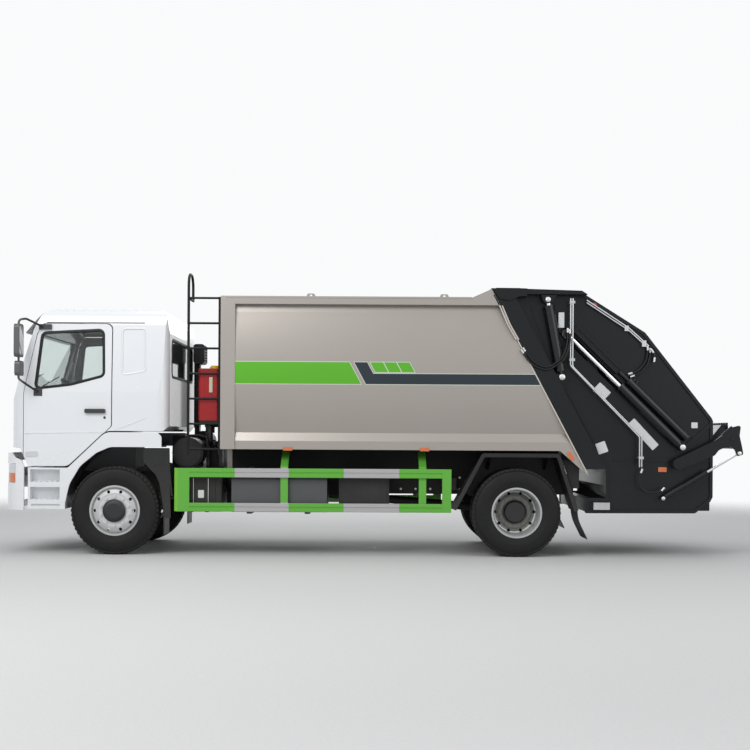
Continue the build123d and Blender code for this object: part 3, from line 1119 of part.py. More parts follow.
def write_parts():
    """Build every sub-part and write it to its own file."""
    os.makedirs("parts", exist_ok=True)
    save("frame", frame_rails())
    save("front_axle", front_axle_beam())
    save("rear_axle", rear_axle_housing())
    save("springs", *springs())
    save("propshaft", propshaft())
    save("engine_block", engine_block())
    save("bumper", bumper())
    save("headlamps", *pair(headlamp()))
    save("steps_and_fenders", *pair(steps_and_fender()))
    save("mudguards", *pair(front_mudguard()), *pair(rear_mudguard()))
    save("side_guards", *pair(side_guard()))
    save("side_lockers", battery_box(), tool_locker())
    save("fuel_tank", fuel_tank())
    save("air_tanks_and_silencer", *air_tanks())
    save("oil_tank", oil_tank())
    save("ladder", ladder())
    save("air_intake", *air_intake())
    save("container_floor", container_floor())
    save("container_front", container_front())
    save("container_sides", *container_sides())
    save("container_roof", container_roof())
    save("rear_frame", rear_frame())
    save("marker_lamps", *[twin for lamp in marker_lamps() for twin in pair(lamp)])
    shell, door, glass, door_glass = cab_parts()
    save("cab_shell", shell)
    save("cab_glass", *glass)
    save("cab_trim", grille(), sun_visor())
    save("dashboard", dashboard())
    save("seats", *seats())
    fittings = door_fittings()
    front_tyre, front_metal = front_wheel()
    twin_tyres, twin_metal = twin_wheel()
    for side, place in (("right", lambda shape: shape), ("left", flipped)):
        save(f"door_{side}", place(door))
        save(f"door_glass_{side}", place(door_glass))
        save(f"door_fittings_{side}", *[place(piece) for piece in fittings])
        save(f"knuckle_{side}", place(knuckle()))
        save(f"front_tyre_{side}", place(front_tyre))
        save(f"front_rim_{side}", place(front_metal))
        save(f"rear_tyres_{side}", *[place(piece) for piece in twin_tyres])
        save(f"rear_rims_{side}", place(twin_metal))
    save("hopper_sides", *pair(hopper_sides()))
    save("hopper_cover", hopper_cover())
    save("hopper_tub", hopper_tub())
    save("hopper_pipes", *[twin for piece in hopper_pipes() for twin in pair(piece)])
    save("tail_lamps", *tail_lamps())
    for name, sizes in (("slide", SLIDE), ("lift", LIFT), ("lifter", LIFTER)):
        barrel, plunger = jack(**sizes)
        extra = pair(second_cylinder()) if name == "slide" else []
        save(f"{name}_barrels", *pair(barrel), *extra)
        save(f"{name}_rods", *pair(plunger))
    save("slide_plate", slide_plate())
    save("blade", blade())
    save("ejector", ejector())
    save("lifter_arms", lifter_arms())


write_parts()
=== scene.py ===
# %% [markdown]
# A rear-loading garbage truck, dressed for its portrait. The solids of the truck come in as a
# fixed frame: rails, cab, container, hopper, wheels and hydraulics are already in place. This
# lesson gives each of them a finish, and adds what is too fine for solids: tyre tread, window
# rubbers, wipers, lamp lenses, placards, bolts and hose fittings.

# %% Load the frame
import math
import bpy
import numpy as np
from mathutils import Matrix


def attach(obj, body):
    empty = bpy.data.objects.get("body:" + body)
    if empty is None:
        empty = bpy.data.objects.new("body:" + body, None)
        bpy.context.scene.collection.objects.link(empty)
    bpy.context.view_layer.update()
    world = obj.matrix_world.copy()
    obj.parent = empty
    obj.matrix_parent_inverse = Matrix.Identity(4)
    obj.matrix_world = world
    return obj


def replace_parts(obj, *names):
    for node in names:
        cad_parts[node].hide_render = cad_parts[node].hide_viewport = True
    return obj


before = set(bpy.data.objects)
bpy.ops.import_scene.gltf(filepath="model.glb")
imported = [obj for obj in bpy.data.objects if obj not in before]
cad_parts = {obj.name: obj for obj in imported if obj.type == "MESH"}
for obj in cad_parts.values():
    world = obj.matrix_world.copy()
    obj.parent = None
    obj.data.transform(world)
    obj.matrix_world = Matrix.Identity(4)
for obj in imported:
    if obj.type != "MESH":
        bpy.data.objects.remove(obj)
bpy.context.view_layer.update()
MM = 0.001

# %% [markdown]
# Every shape below is an array of points. A grid of rows and columns becomes a surface when
# each point is joined to its neighbours, and it may close on itself in either direction. The
# helpers keep points and faces apart, in millimetres, so that many small shapes can be joined
# into one piece before Blender ever sees them.

# %% Grids, joined shapes and pieces
def grid_shape(points, wrap_rows=False, wrap_columns=False, cap_ends=False):
    """Faces of a grid of points: point (i, j) joins (i+1, j), (i+1, j+1) and (i, j+1)."""
    rows, columns = points.shape[:2]
    number = np.arange(rows * columns).reshape(rows, columns)
    if wrap_rows:
        number = np.vstack([number, number[:1]])
    if wrap_columns:
        number = np.hstack([number, number[:, :1]])
    corners = [number[:-1, :-1], number[1:, :-1], number[1:, 1:], number[:-1, 1:]]
    faces = np.stack(corners, -1).reshape(-1, 4).tolist()
    if cap_ends:
        faces += [list(range(columns)), list(range(rows * columns - 1, (rows - 1) * columns - 1, -1))]
    return points.reshape(-1, 3), faces


def added(name, data):
    """A new object of the scene that shows the data."""
    made = bpy.data.objects.new(name, data)
    bpy.context.scene.collection.objects.link(made)
    return made


def piece(name, shapes, finish, body, sharp=40):
    """Joins shapes into one mesh object in metres that rides on a body and wears a finish."""
    points, faces, start = [], [], 0
    for shape_points, shape_faces in shapes:
        points.append(shape_points)
        faces += [[start + index for index in face] for face in shape_faces]
        start += len(shape_points)
    mesh = bpy.data.meshes.new(name)
    mesh.from_pydata((np.vstack(points) * MM).tolist(), [], faces)
    mesh.polygons.foreach_set("use_smooth", np.ones(len(mesh.polygons), bool))
    mesh.set_sharp_from_angle(angle=math.radians(sharp))
    mesh.materials.append(finish)
    made = added(name, mesh)
    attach(made, body)
    print(name, len(faces), "faces")
    return made


def mirrored(shape):
    """The same shape on the other side of the truck: Y changes sign and each face turns round."""
    points, faces = shape
    return points * [1, -1, 1], [face[::-1] for face in faces]


def both_sides(shapes):
    """A list of shapes followed by their mirror images."""
    return list(shapes) + [mirrored(shape) for shape in shapes]


def door_pieces(name, shapes, finish):
    """One piece for each door: the shapes as drawn on the right one, mirrored on the left one."""
    for hand, worn in (("left", [mirrored(shape) for shape in shapes]), ("right", shapes)):
        piece(f"{name}_{hand}", worn, finish, f"door_{hand}")


# %% [markdown]
# Four families of shapes are enough for the trim. A turned shape is a profile swung round an
# axle. A tube is a circle carried along a path. A slab is an outline carried through a
# thickness, with its two rims drawn in a little so that the edges catch light. A bead is a
# small section carried round an outline, which is what a window rubber is.

# %% Turned shapes, tubes, slabs and beads
def unit(vectors):
    """The same directions at length 1."""
    return vectors / np.linalg.norm(vectors, axis=-1, keepdims=True)


def full_turn(steps):
    """Angles of so many equal steps round a circle."""
    return np.linspace(0, 2 * math.pi, steps, endpoint=False)


def turned(rows, x, z, steps):
    """Profile rows (out, radius) swung about an axle along Y: (x + r cos a, out, z + r sin a)."""
    profile = np.array(rows, float)
    angle = full_turn(steps)[:, None]
    out = np.broadcast_to(profile[:, 0], (steps, len(profile)))
    points = np.stack([x + profile[:, 1] * np.cos(angle), out, z + profile[:, 1] * np.sin(angle)], -1)
    return grid_shape(points, wrap_rows=True)


def smooth_path(corners, bend, steps=6):
    """Straight runs through corners, each corner replaced by an arc-like curve of the given reach."""
    corners = np.array(corners, float)
    before, here, after = corners[:-2], corners[1:-1], corners[2:]
    into, away = unit(before - here), unit(after - here)
    share = np.linspace(0, 1, steps)[None, :, None]
    start, end = (here + into * bend)[:, None], (here + away * bend)[:, None]
    curve = start * (1 - share) ** 2 + 2 * here[:, None] * share * (1 - share) + end * share ** 2
    return np.vstack([corners[:1], curve.reshape(-1, 3), corners[-1:]])


TUBE_SIDES = 12
NO_TUBE_RUNS_HERE = (0.13, 0.31, 0.94)


def tube(path, radius):
    """A circle carried along a path: centre + r (cos a * n + sin a * b), n square to the path."""
    path = np.array(path, float)
    along = unit(np.gradient(path, axis=0))
    normal = unit(np.cross(along, np.array(NO_TUBE_RUNS_HERE)))
    other = np.cross(along, normal)
    angle = full_turn(TUBE_SIDES)[None, :, None]
    ring = np.cos(angle) * normal[:, None] + np.sin(angle) * other[:, None]
    return grid_shape(path[:, None] + radius * ring, wrap_columns=True, cap_ends=True)


def rounded(corners, steps=7):
    """Points round an outline of (across, up, radius) corners, with an arc of that radius at each."""
    rows = np.array(corners, float)
    here, radius = rows[:, :2], rows[:, 2]
    into, away = unit(np.roll(here, 1, 0) - here), unit(np.roll(here, -1, 0) - here)
    half = np.arccos(np.clip((into * away).sum(1), -1, 1)) / 2
    middle = unit(into + away)
    centre = here + middle * (radius / np.sin(half))[:, None]
    turn = np.sign(into[:, 0] * away[:, 1] - into[:, 1] * away[:, 0])
    start = np.arctan2(-middle[:, 1], -middle[:, 0])
    swing = np.linspace(-1, 1, steps)[None] * (math.pi / 2 - half)[:, None] * -turn[:, None]
    angle = start[:, None] + swing
    points = centre[:, None] + radius[:, None, None] * np.stack([np.cos(angle), np.sin(angle)], -1)
    return points.reshape(-1, 2)


def outward(points):
    """Unit vectors square to a closed outline of points, pointing out of it."""
    along = unit(np.roll(points, -1, 0) - np.roll(points, 1, 0))
    across = np.stack([along[:, 1], -along[:, 0]], -1)
    after = np.roll(points, -1, 0)
    area = (points[:, 0] * after[:, 1] - points[:, 1] * after[:, 0]).sum()
    return across * (1 if area > 0 else -1)


PLANES = {"Y": (0, 2, 1), "X": (1, 2, 0), "Z": (0, 1, 2)}


def placed(flat, depth, axis):
    """Puts outline coordinates and a depth on the three axes: axis names the one that depth runs along."""
    across, up, through = PLANES[axis]
    points = np.zeros(flat.shape[:-1] + (3,))
    points[..., across], points[..., up], points[..., through] = flat[..., 0], flat[..., 1], depth
    return points


def slab(corners, low, high, axis="Y", edge=2.0, steps=7):
    """An outline carried from low to high: four rings, the outer two drawn in by the edge's size."""
    flat = rounded(corners, steps)
    inside = flat - outward(flat) * edge
    depths = np.array([low, low + edge, high - edge, high])[:, None]
    rings = np.stack([inside, flat, flat, inside])
    points, faces = grid_shape(placed(rings, depths, axis), wrap_columns=True, cap_ends=True)
    return outside_out(points, faces)


def outside_out(points, faces):
    """Turns all faces of a closed shape round if its signed volume is negative."""
    volume = sum(np.dot(points[f[0]], np.cross(points[f[i]], points[f[i + 1]]))
                 for f in faces for i in range(1, len(f) - 1))
    return points, (faces if volume > 0 else [face[::-1] for face in faces])


def bead(flat, section, lay):
    """A section (out, proud) carried round a flat outline that the function lay puts in space."""
    section = np.array(section, float)
    spread = flat[:, None] + outward(flat)[:, None] * section[None, :, :1]
    points = lay(spread, np.broadcast_to(section[None, :, 1], spread.shape[:2]))
    return outside_out(*grid_shape(points, wrap_rows=True, wrap_columns=True))


def rectangle(low, high, foot, top, radius):
    """Corners of an upright rectangle, all with the same radius."""
    return [(low, foot, radius), (high, foot, radius), (high, top, radius), (low, top, radius)]


# %% [markdown]
# A finish is a network of shader nodes. Writing it link by link hides the idea, so a socket is
# wrapped in a class that understands plus, minus, times and abs: each operator adds the Math
# node that it stands for. Any other node comes from one method, which sets the node's own
# options first and then the values or links of its sockets.

# %% Shader maths as Python expressions
class Socket:
    """An output of a shader node that can be used in arithmetic."""

    def __init__(self, finish, link):
        self.finish = finish
        self.link = link

    def maths(self, operation, first, second=0.0):
        return self.finish.node("Math", {"operation": operation}, {0: first, 1: second})

    def __add__(self, other):
        return self.maths("ADD", self, other)

    __radd__ = __add__

    def __sub__(self, other):
        return self.maths("SUBTRACT", self, other)

    def __rsub__(self, other):
        return self.maths("SUBTRACT", other, self)

    def __mul__(self, other):
        return self.maths("MULTIPLY", self, other)

    __rmul__ = __mul__

    def __abs__(self):
        return self.maths("ABSOLUTE", self)

    def root(self):
        return self.maths("SQRT", self)

    def least(self, other):
        return self.maths("MINIMUM", self, other)

    def most(self, other):
        return self.maths("MAXIMUM", self, other)

    def over(self, edge, soft=0.002):
        """0 below the edge and 1 above it, with a soft step between."""
        values = {"Value": self, "From Min": edge - soft, "From Max": edge + soft}
        return self.finish.node("MapRange", {"interpolation_type": "SMOOTHSTEP"}, values)

    def within(self, low, high, soft=0.002):
        """1 between two limits and 0 outside them."""
        return self.over(low, soft) * (1 - self.over(high, soft))

    def wave(self, pitch):
        """A sine of the socket's value that repeats at each pitch, from -1 to 1."""
        return self.maths("SINE", self * (2 * math.pi / pitch))


class Finish:
    """A material under construction: one Principled shader and the nodes that feed it."""

    def __init__(self, name, **fixed):
        self.material = bpy.data.materials.new(name)
        self.material.use_nodes = True
        self.tree = self.material.node_tree
        self.shader = self.tree.nodes["Principled BSDF"]
        for socket, value in fixed.items():
            target = self.shader.inputs[socket.replace("_", " ")]
            target.default_value = (*value, 1) if isinstance(value, tuple) else value
        self.where = self.node("TexCoord", {}, {}, output="Object")
        self.x, self.y, self.z = self.parts(self.where)

    def node(self, kind, settings, values, output=None):
        """Adds a node, sets its options, then feeds each named or numbered socket a value or a link."""
        made = self.tree.nodes.new("ShaderNode" + kind)
        for name, value in settings.items():
            setattr(made, name, value)
        for name, value in values.items():
            if isinstance(value, Socket):
                self.tree.links.new(value.link, made.inputs[name])
            else:
                made.inputs[name].default_value = value
        return Socket(self, made.outputs[output or 0])

    def parts(self, vector):
        """The three parts of a vector, as sockets."""
        return [self.node("SeparateXYZ", {}, {0: vector}, output=axis) for axis in "XYZ"]

    def distance(self, x, z):
        """Distance from a line across the truck, through (x, z)."""
        along, up = self.x - x, self.z - z
        return (along * along + up * up).root()

    def feed(self, **inputs):
        """Links sockets to the shader's inputs; an underscore stands for a space."""
        for name, value in inputs.items():
            self.tree.links.new(value.link, self.shader.inputs[name.replace("_", " ")])
        return self.material

    def noise(self, scale, detail=3.0, rough=0.55, stretch=(1, 1, 1)):
        """Noise at so many features to the metre, from 0 to 1, which can be stretched along an axis."""
        where = self.node("Mapping", {}, {"Vector": self.where, "Scale": stretch})
        values = {"Vector": where, "Scale": scale, "Detail": detail, "Roughness": rough}
        return self.node("TexNoise", {}, values, output="Fac")

    def mix(self, first, second, factor):
        """Blends two colours, given as tuples or sockets."""
        values = {0: factor, 6: (*first, 1) if isinstance(first, tuple) else first,
                  7: (*second, 1) if isinstance(second, tuple) else second}
        return self.node("Mix", {"data_type": "RGBA"}, values, output=2)

    def bump(self, height, distance, strength):
        """A bumped normal from a height."""
        values = {"Height": height, "Distance": distance, "Strength": strength}
        return self.node("Bump", {}, values, output="Normal")

    def facing(self):
        """The surface's own direction, as three sockets."""
        return self.parts(self.node("NewGeometry", {}, {}, output="Normal"))


def dress(finish, *nodes):
    """Puts a finish on solids of the frame."""
    for name in nodes:
        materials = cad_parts[name].data.materials
        materials.clear()
        materials.append(finish)


# %% [markdown]
# The camera stands square to the truck's side and so far back that the whole side fits. The
# horizon lies below the middle of the picture although upright edges stay upright, so the lens
# is shifted up and the camera isn't pitched.

# %% Camera
CAMERA_PLACE = (0.0, -16.70, 1.40)
CAMERA_LENS, CAMERA_SENSOR = 63.8, 36.0
CAMERA_RISE = 0.0818
CAMERA_ROLL = -0.33
camera_data = bpy.data.cameras.new("camera")
camera_data.lens = CAMERA_LENS
camera_data.sensor_width = CAMERA_SENSOR
camera_data.shift_y = CAMERA_RISE
camera = added("camera", camera_data)
camera.location = CAMERA_PLACE
camera.rotation_euler = (math.radians(90), math.radians(CAMERA_ROLL), 0)
bpy.context.scene.camera = camera

# %% [markdown]
# The floor is a pale disc that fades out before the horizon. The sky is a faint blue light, but
# a white backdrop wherever it is seen, also through glass or in a reflection.

# %% Floor, sky and lamps
FLOOR_RADIUS = 16.0
FADE_FROM = 9.0


def floor_disc():
    """Points on rings round the origin: (r cos a, r sin a, 0)."""
    radius = np.linspace(0.02, FLOOR_RADIUS, 24)[:, None]
    angle = full_turn(96)[None]
    points = np.stack([radius * np.cos(angle), radius * np.sin(angle), 0 * radius * angle], -1)
    shape = grid_shape(points, wrap_columns=True)
    mesh = bpy.data.meshes.new("floor")
    mesh.from_pydata(shape[0].tolist(), [], [face[::-1] for face in shape[1]])
    return added("floor", mesh)


floor = floor_disc()
paving = Finish("paving", Roughness=0.85)
speckle = paving.noise(38, 5, 0.7)
away = (paving.x * paving.x + paving.y * paving.y).root()
paving.feed(Base_Color=paving.mix((0.60, 0.595, 0.58), (0.72, 0.715, 0.70), speckle),
            Alpha=1 - away.over((FADE_FROM + FLOOR_RADIUS) / 2, (FLOOR_RADIUS - FADE_FROM) / 2),
            Normal=paving.bump(paving.noise(220, 4, 0.7), 0.002, 0.5))
floor.data.materials.append(paving.material)

world = bpy.data.worlds.new("sky")
bpy.context.scene.world = world
world.use_nodes = True
sky = world.node_tree


def either(first, second):
    """The larger of two outputs of the sky's nodes."""
    made = sky.nodes.new("ShaderNodeMath")
    made.operation = "MAXIMUM"
    sky.links.new(first, made.inputs[0])
    sky.links.new(second, made.inputs[1])
    return made.outputs[0]


rays = sky.nodes.new("ShaderNodeLightPath").outputs
seen = either(either(rays["Is Camera Ray"], rays["Is Transmission Ray"]), rays["Is Glossy Ray"])
light, backdrop = sky.nodes["Background"], sky.nodes.new("ShaderNodeBackground")
SKY_LIGHT = ((0.86, 0.92, 1.0, 1), 0.36)
SKY_SEEN = ((0.955, 0.965, 0.97, 1), 1.0)
for node, (colour, strength) in ((light, SKY_LIGHT), (backdrop, SKY_SEEN)):
    node.inputs["Color"].default_value = colour
    node.inputs["Strength"].default_value = strength
mixed = sky.nodes.new("ShaderNodeMixShader")
for number, output in enumerate((seen, light.outputs[0], backdrop.outputs[0])):
    sky.links.new(output, mixed.inputs[number])
sky.links.new(mixed.outputs[0], sky.nodes["World Output"].inputs["Surface"])

LAMPS = [
    # name, place in metres, size, power in watts
    ("key", (-6.0, -11.0, 9.0), 7.0, 900),
    ("fill", (9.0, -9.0, 6.0), 8.0, 330),
    ("back", (0.0, 12.0, 8.0), 9.0, 450),
    ("top", (0.0, 0.0, 12.0), 9.0, 330),
]
AIM = (0.0, 0.0, 1.4)


def lamp(name, place, size, power):
    """A square area lamp that faces the truck's middle."""
    data = bpy.data.lights.new(name, "AREA")
    data.size = size
    data.energy = power
    made = added(name, data)
    target = np.array(AIM) - np.array(place)
    made.location = place
    made.rotation_euler = (math.acos(-target[2] / np.linalg.norm(target)), 0,
                           math.atan2(target[1], target[0]) - math.pi / 2)


for row in LAMPS:
    lamp(*row)
bpy.context.scene.view_settings.view_transform = "Standard"

# %% [markdown]
# Paint comes first, because most of the truck is painted sheet. Three things make paint look
# like paint: a clear coat over the colour, a faint orange-peel in the surface, and the light
# dust that settles low down and on level faces. One function makes them all, and each paint
# then only says its colours. The cab is grey inside, and the arches of the fenders are black.

# %% Paints
DUST = (0.30, 0.27, 0.23)
DUST_LOW, DUST_HIGH = 0.35, 1.3
ORANGE_PEEL = 0.00012


def dust_on(finish, amount):
    """How dusty each point is: more near the ground and on faces that look up, broken by noise."""
    values = {"Value": finish.z, "From Min": DUST_LOW, "From Max": DUST_HIGH}
    near_ground = 1 - finish.node("MapRange", {}, values)
    level = finish.facing()[2].over(0.75, 0.2)
    cloud = finish.noise(6, 5, 0.65)
    return (near_ground * 0.75 + level * 0.25) * cloud * amount


def paint(name, colour, rough, dust, coat=0.6, gloss=0.5, finish=None):
    """A coated paint: colour varied a little in large clouds, orange-peel bump and settled dust."""
    made = finish or Finish(name, Coat_Roughness=0.08)
    made.shader.inputs["Coat Weight"].default_value = coat
    made.shader.inputs["Specular IOR Level"].default_value = gloss
    clouds = made.noise(0.9, 3)
    darker = tuple(channel * 0.93 for channel in colour) if isinstance(colour, tuple) else colour
    base = made.mix(darker, colour, clouds)
    settled = dust_on(made, dust)
    made.feed(Base_Color=made.mix(base, DUST, settled),
              Roughness=rough + settled * 0.5 + made.noise(14, 4) * 0.05,
              Normal=made.bump(made.noise(420, 2), ORANGE_PEEL, 0.6))
    return made.material


CAB_WHITE = (0.82, 0.83, 0.845)
FRAME_BLACK = (0.010, 0.010, 0.011)
INSIDE_GREY = (0.050, 0.051, 0.055)
INSIDE_X, INSIDE_HALF, INSIDE_TOP = (-4.020, -2.470), 1.140, 2.740
SCREEN_X, SCREEN_Z, SCREEN_SLOPE = -4.165, 1.905, 0.306
BELT_Z, SIDE_SLOPE = 1.900, 0.056
ARCH_HALF, ARCH_FRONT = 1.146, -3.600


def inside_cab(finish):
    """1 on the shell's inner faces: behind the screen, within the sides, before the rear wall."""
    screen = finish.x - (finish.z - SCREEN_Z) * SCREEN_SLOPE
    behind_screen = finish.x.over(INSIDE_X[0], 0.004) * screen.over(SCREEN_X, 0.004)
    side = abs(finish.y) + (finish.z - BELT_Z).most(0.0) * SIDE_SLOPE
    before_rear = 1 - finish.x.over(INSIDE_X[1], 0.004)
    below_roof = 1 - finish.z.over(INSIDE_TOP, 0.004)
    return behind_screen * (1 - side.over(INSIDE_HALF, 0.003)) * before_rear * below_roof


shell = Finish("cab_white", Coat_Roughness=0.08)
cab_white = paint("cab_white", shell.mix(CAB_WHITE, INSIDE_GREY, inside_cab(shell)), rough=0.24,
                  dust=0.16, finish=shell)
fender = Finish("fender_white", Coat_Roughness=0.08)
arch_inside = (1 - abs(fender.y).over(ARCH_HALF, 0.001)) * fender.x.over(ARCH_FRONT, 0.003)
fender_white = paint("fender_white", fender.mix(CAB_WHITE, FRAME_BLACK, arch_inside), rough=0.24,
                     dust=0.2, finish=fender)
hopper_dark = paint("hopper_dark", (0.006, 0.008, 0.010), rough=0.30, coat=0.10, dust=0.05, gloss=0.20)
# chassis black paint; on the container's floor and on the fill between the solids it is also a painted
# shade
chassis_black_and_painted_shade = paint("chassis_black_and_painted_shade", FRAME_BLACK, rough=0.50, coat=0.0, dust=0.2, gloss=0.20)
jack_black = paint("jack_black", (0.006, 0.0065, 0.0075), rough=0.22, coat=0.25, dust=0.04, gloss=0.25)
engine_grey = paint("engine_grey", (0.16, 0.165, 0.17), rough=0.6, coat=0.0, dust=0.5)

# %% [markdown]
# The container is taupe with a metallic flake. Its side carries a broad green stripe that ends
# on a slant, then a dark stripe with a step in it, and three small green leaning bars. Each of
# those is a region between straight lines, so the finish compares the position along the truck
# with a line that leans: x > start + lean * (top - z).

# %% Container paint with its stripes
STRIPE_TOP = 2.263
STRIPE_STEP = 2.130
STRIPE_LOW = 2.008
LEAN = 0.54
GREEN_START, GREEN_END = -1.637, -0.303
DARK_START, DARK_STEP = -0.247, -0.096
BARS = [(-0.062, 0.088), (0.098, 0.242), (0.252, 0.398)]
STRIPE_GREEN = (0.105, 0.420, 0.022)
STRIPE_DARK = (0.020, 0.032, 0.042)
STRIPE_EDGE = (0.62, 0.66, 0.58)
EDGE_WIDTH = 0.007
BAR_GAP = 0.018


def leaning(finish, start):
    """1 behind a line that leans back as it falls from the stripe's top."""
    return (finish.x + (finish.z - STRIPE_TOP) * LEAN).over(start, 0.0015)


def stripe_areas(finish, grow):
    """The green and the dark areas of the stripe, each grown by a margin in metres."""
    tall = finish.z.within(STRIPE_LOW - grow, STRIPE_TOP + grow, 0.0015)
    lower = finish.z.within(STRIPE_LOW - grow, STRIPE_STEP + grow, 0.0015)
    upper = finish.z.within(STRIPE_STEP + BAR_GAP - grow, STRIPE_TOP + grow, 0.0015)
    green = tall * finish.x.over(GREEN_START) * (1 - leaning(finish, GREEN_END + grow))
    for start, end in BARS:
        green = green.most(upper * leaning(finish, start - grow) * (1 - leaning(finish, end + grow)))
    before_step = tall * (1 - leaning(finish, DARK_STEP + grow))
    return green, leaning(finish, DARK_START - grow) * lower.most(before_step)


taupe = Finish("container_taupe", Coat_Roughness=0.10, Metallic=0.45)
sides_only = abs(taupe.facing()[1]).over(0.7, 0.1)
green_area, dark_area = stripe_areas(taupe, 0.0)
green_edge, dark_edge = stripe_areas(taupe, EDGE_WIDTH)
flake = taupe.noise(900, 2, 0.7)
ground = taupe.mix((0.345, 0.315, 0.285), (0.395, 0.362, 0.330), flake * 0.6 + taupe.noise(0.8) * 0.5)
striped = taupe.mix(ground, STRIPE_EDGE, green_edge.most(dark_edge) * sides_only)
striped = taupe.mix(striped, STRIPE_GREEN, green_area * sides_only)
striped = taupe.mix(striped, STRIPE_DARK, dark_area * sides_only)
container_taupe = paint("container_taupe", striped, rough=0.30, coat=0.3, dust=0.08, gloss=0.3,
                        finish=taupe)

# %% [markdown]
# The side guard is one welded frame painted in bands: green at both ends and in the middle,
# silver between. The bands are simply stretches of the truck's length. The face that looks
# forward is painted a lighter green, a painted highlight for the light that falls on it.

# %% Guard paint
GUARD_SILVER = [(-1.632, -1.003), (-0.361, 0.286)]
GUARD_RAILS = [(0.500, 0.622), (0.905, 1.030)]
GUARD_OUT, GUARD_FRONT = 1.178, -2.300
guard = Finish("guard_green", Coat_Roughness=0.08)
on_rail = guard.z.within(*GUARD_RAILS[0]).most(guard.z.within(*GUARD_RAILS[1]))
in_band = guard.x.within(*GUARD_SILVER[0]).most(guard.x.within(*GUARD_SILVER[1]))
silver = in_band * on_rail * abs(guard.y).over(GUARD_OUT, 0.003)
# painted highlight: the guard's forward face is painted a lighter green where light falls on it
painted_lit_front = 1 - guard.x.over(GUARD_FRONT, 0.002)
green_with_painted_lit_front = guard.mix((0.115, 0.430, 0.040), (0.235, 0.640, 0.060), painted_lit_front)
guard_green = paint("guard_green", guard.mix(green_with_painted_lit_front, (0.45, 0.44, 0.44), silver), rough=0.3,
                    coat=0.3, dust=0.12, gloss=0.3, finish=guard)

# %% [markdown]
# Plastics and rubbers are dull and slightly grained. One plastic finish serves the visor and
# the grille, and another the mirrors and the handles, so each changes its grey at a plane.

# %% Plastics and rubber
def grained(name, colour, rough, grain, size, dust):
    """A moulded surface: a fine leather-like grain, colour varied a little, and dust."""
    made = Finish(name, Specular_IOR_Level=0.28)
    settled = dust_on(made, dust)
    cells = made.node("TexVoronoi", {"feature": "F1"}, {"Vector": made.where, "Scale": size},
                      output="Distance")
    lighter = tuple(min(1.0, channel * 1.35 + 0.004) for channel in colour)
    made.feed(Base_Color=made.mix(made.mix(colour, lighter, made.noise(3, 4)), DUST, settled),
              Roughness=rough + settled * 0.3 - made.noise(20, 3) * 0.08,
              Normal=made.bump(cells + made.noise(size * 2, 2) * 0.4, grain, 0.7))
    return made.material


# black plastic; on the flap sheets and the beam plate it is also a painted shade
black_plastic = grained("black_plastic", (0.011, 0.011, 0.012), 0.48, 0.0004, 420, dust=0.2)
cab_inside = grained("cab_inside", (0.030, 0.031, 0.034), 0.60, 0.0004, 500, dust=0.03)
rubber_seal = grained("rubber_seal", (0.006, 0.006, 0.007), 0.55, 0.0002, 700, dust=0.05)

VISOR_FOOT = 2.580
MIRROR_REAR = -4.060
visor = Finish("trim_plastic", Coat_Weight=0.2, Coat_Roughness=0.1)
visor_area = visor.z.over(VISOR_FOOT, 0.002)
visor.feed(Base_Color=visor.mix((0.020, 0.020, 0.022), (0.150, 0.152, 0.158), visor_area),
           Roughness=0.5 - visor_area * 0.25 + visor.noise(20, 3) * 0.06,
           Normal=visor.bump(visor.noise(500, 2), 0.0003, 0.6))

outside = Finish("fitting_plastic", Coat_Weight=0.2, Coat_Roughness=0.15)
mirror_case = 1 - outside.x.over(MIRROR_REAR, 0.002)
outside.feed(Base_Color=outside.mix((0.016, 0.016, 0.017), (0.085, 0.086, 0.088), mirror_case),
             Roughness=0.42 + outside.noise(24, 3) * 0.08,
             Normal=outside.bump(outside.noise(460, 2), 0.0003, 0.6))

# %% [markdown]
# Metals without paint are bright and streaked the way they were drawn. The eyes at the chrome
# rods' ends are painted dark, and the steel pipes share a pale block.

# %% Rods, pipes and plain metals
def bare_metal(name, colour, rough, stretch=(1, 1, 30)):
    """Polished or drawn metal: fine streaks along one direction and faint stains."""
    made = Finish(name, Metallic=1.0)
    streaks = made.noise(60, 3, 0.6, stretch)
    stains = made.noise(5, 4, 0.6)
    made.feed(Base_Color=made.mix(tuple(channel * 0.82 for channel in colour), colour, stains),
              Roughness=rough + streaks * 0.12 + stains * 0.08,
              Normal=made.bump(streaks, 0.0003, 0.4))
    return made.material


ROD_EYES = [
    # x, z and radius of the forged eye at a rod's end, in metres
    (2.235, 2.611, 0.052),
    (2.009, 3.007, 0.044),
    (4.242, 1.224, 0.030),
]
PIPE_BLOCK_X, PIPE_BLOCK_Z = (2.139, 2.207), (2.683, 2.863)

rod = Finish("chrome_rod")
eyes = sum((1 - rod.distance(x, z).over(radius, 0.002) for x, z, radius in ROD_EYES), 0).least(1.0)
chrome = rod.mix((0.72, 0.73, 0.75), (0.82, 0.83, 0.85), rod.noise(5, 4))
streaks = rod.noise(60, 3, 0.6, (1, 1, 30))
rod.feed(Base_Color=rod.mix(chrome, (0.010, 0.010, 0.012), eyes), Metallic=1 - eyes,
         Roughness=0.07 + eyes * 0.3 + streaks * 0.06, Normal=rod.bump(streaks, 0.0002, 0.4))

pipe = Finish("pipe_steel")
block_area = pipe.x.within(*PIPE_BLOCK_X, 0.001) * pipe.z.within(*PIPE_BLOCK_Z, 0.001)
stains = pipe.noise(5, 4, 0.6)
steel = pipe.mix((0.43, 0.44, 0.45), (0.54, 0.55, 0.56), stains)
pipe.feed(Base_Color=pipe.mix(steel, (0.74, 0.75, 0.76), block_area), Metallic=1 - block_area,
          Roughness=0.28 + stains * 0.1 + block_area * 0.1,
          Normal=pipe.bump(pipe.noise(60, 3, 0.6, (30, 30, 1)), 0.0002, 0.4))

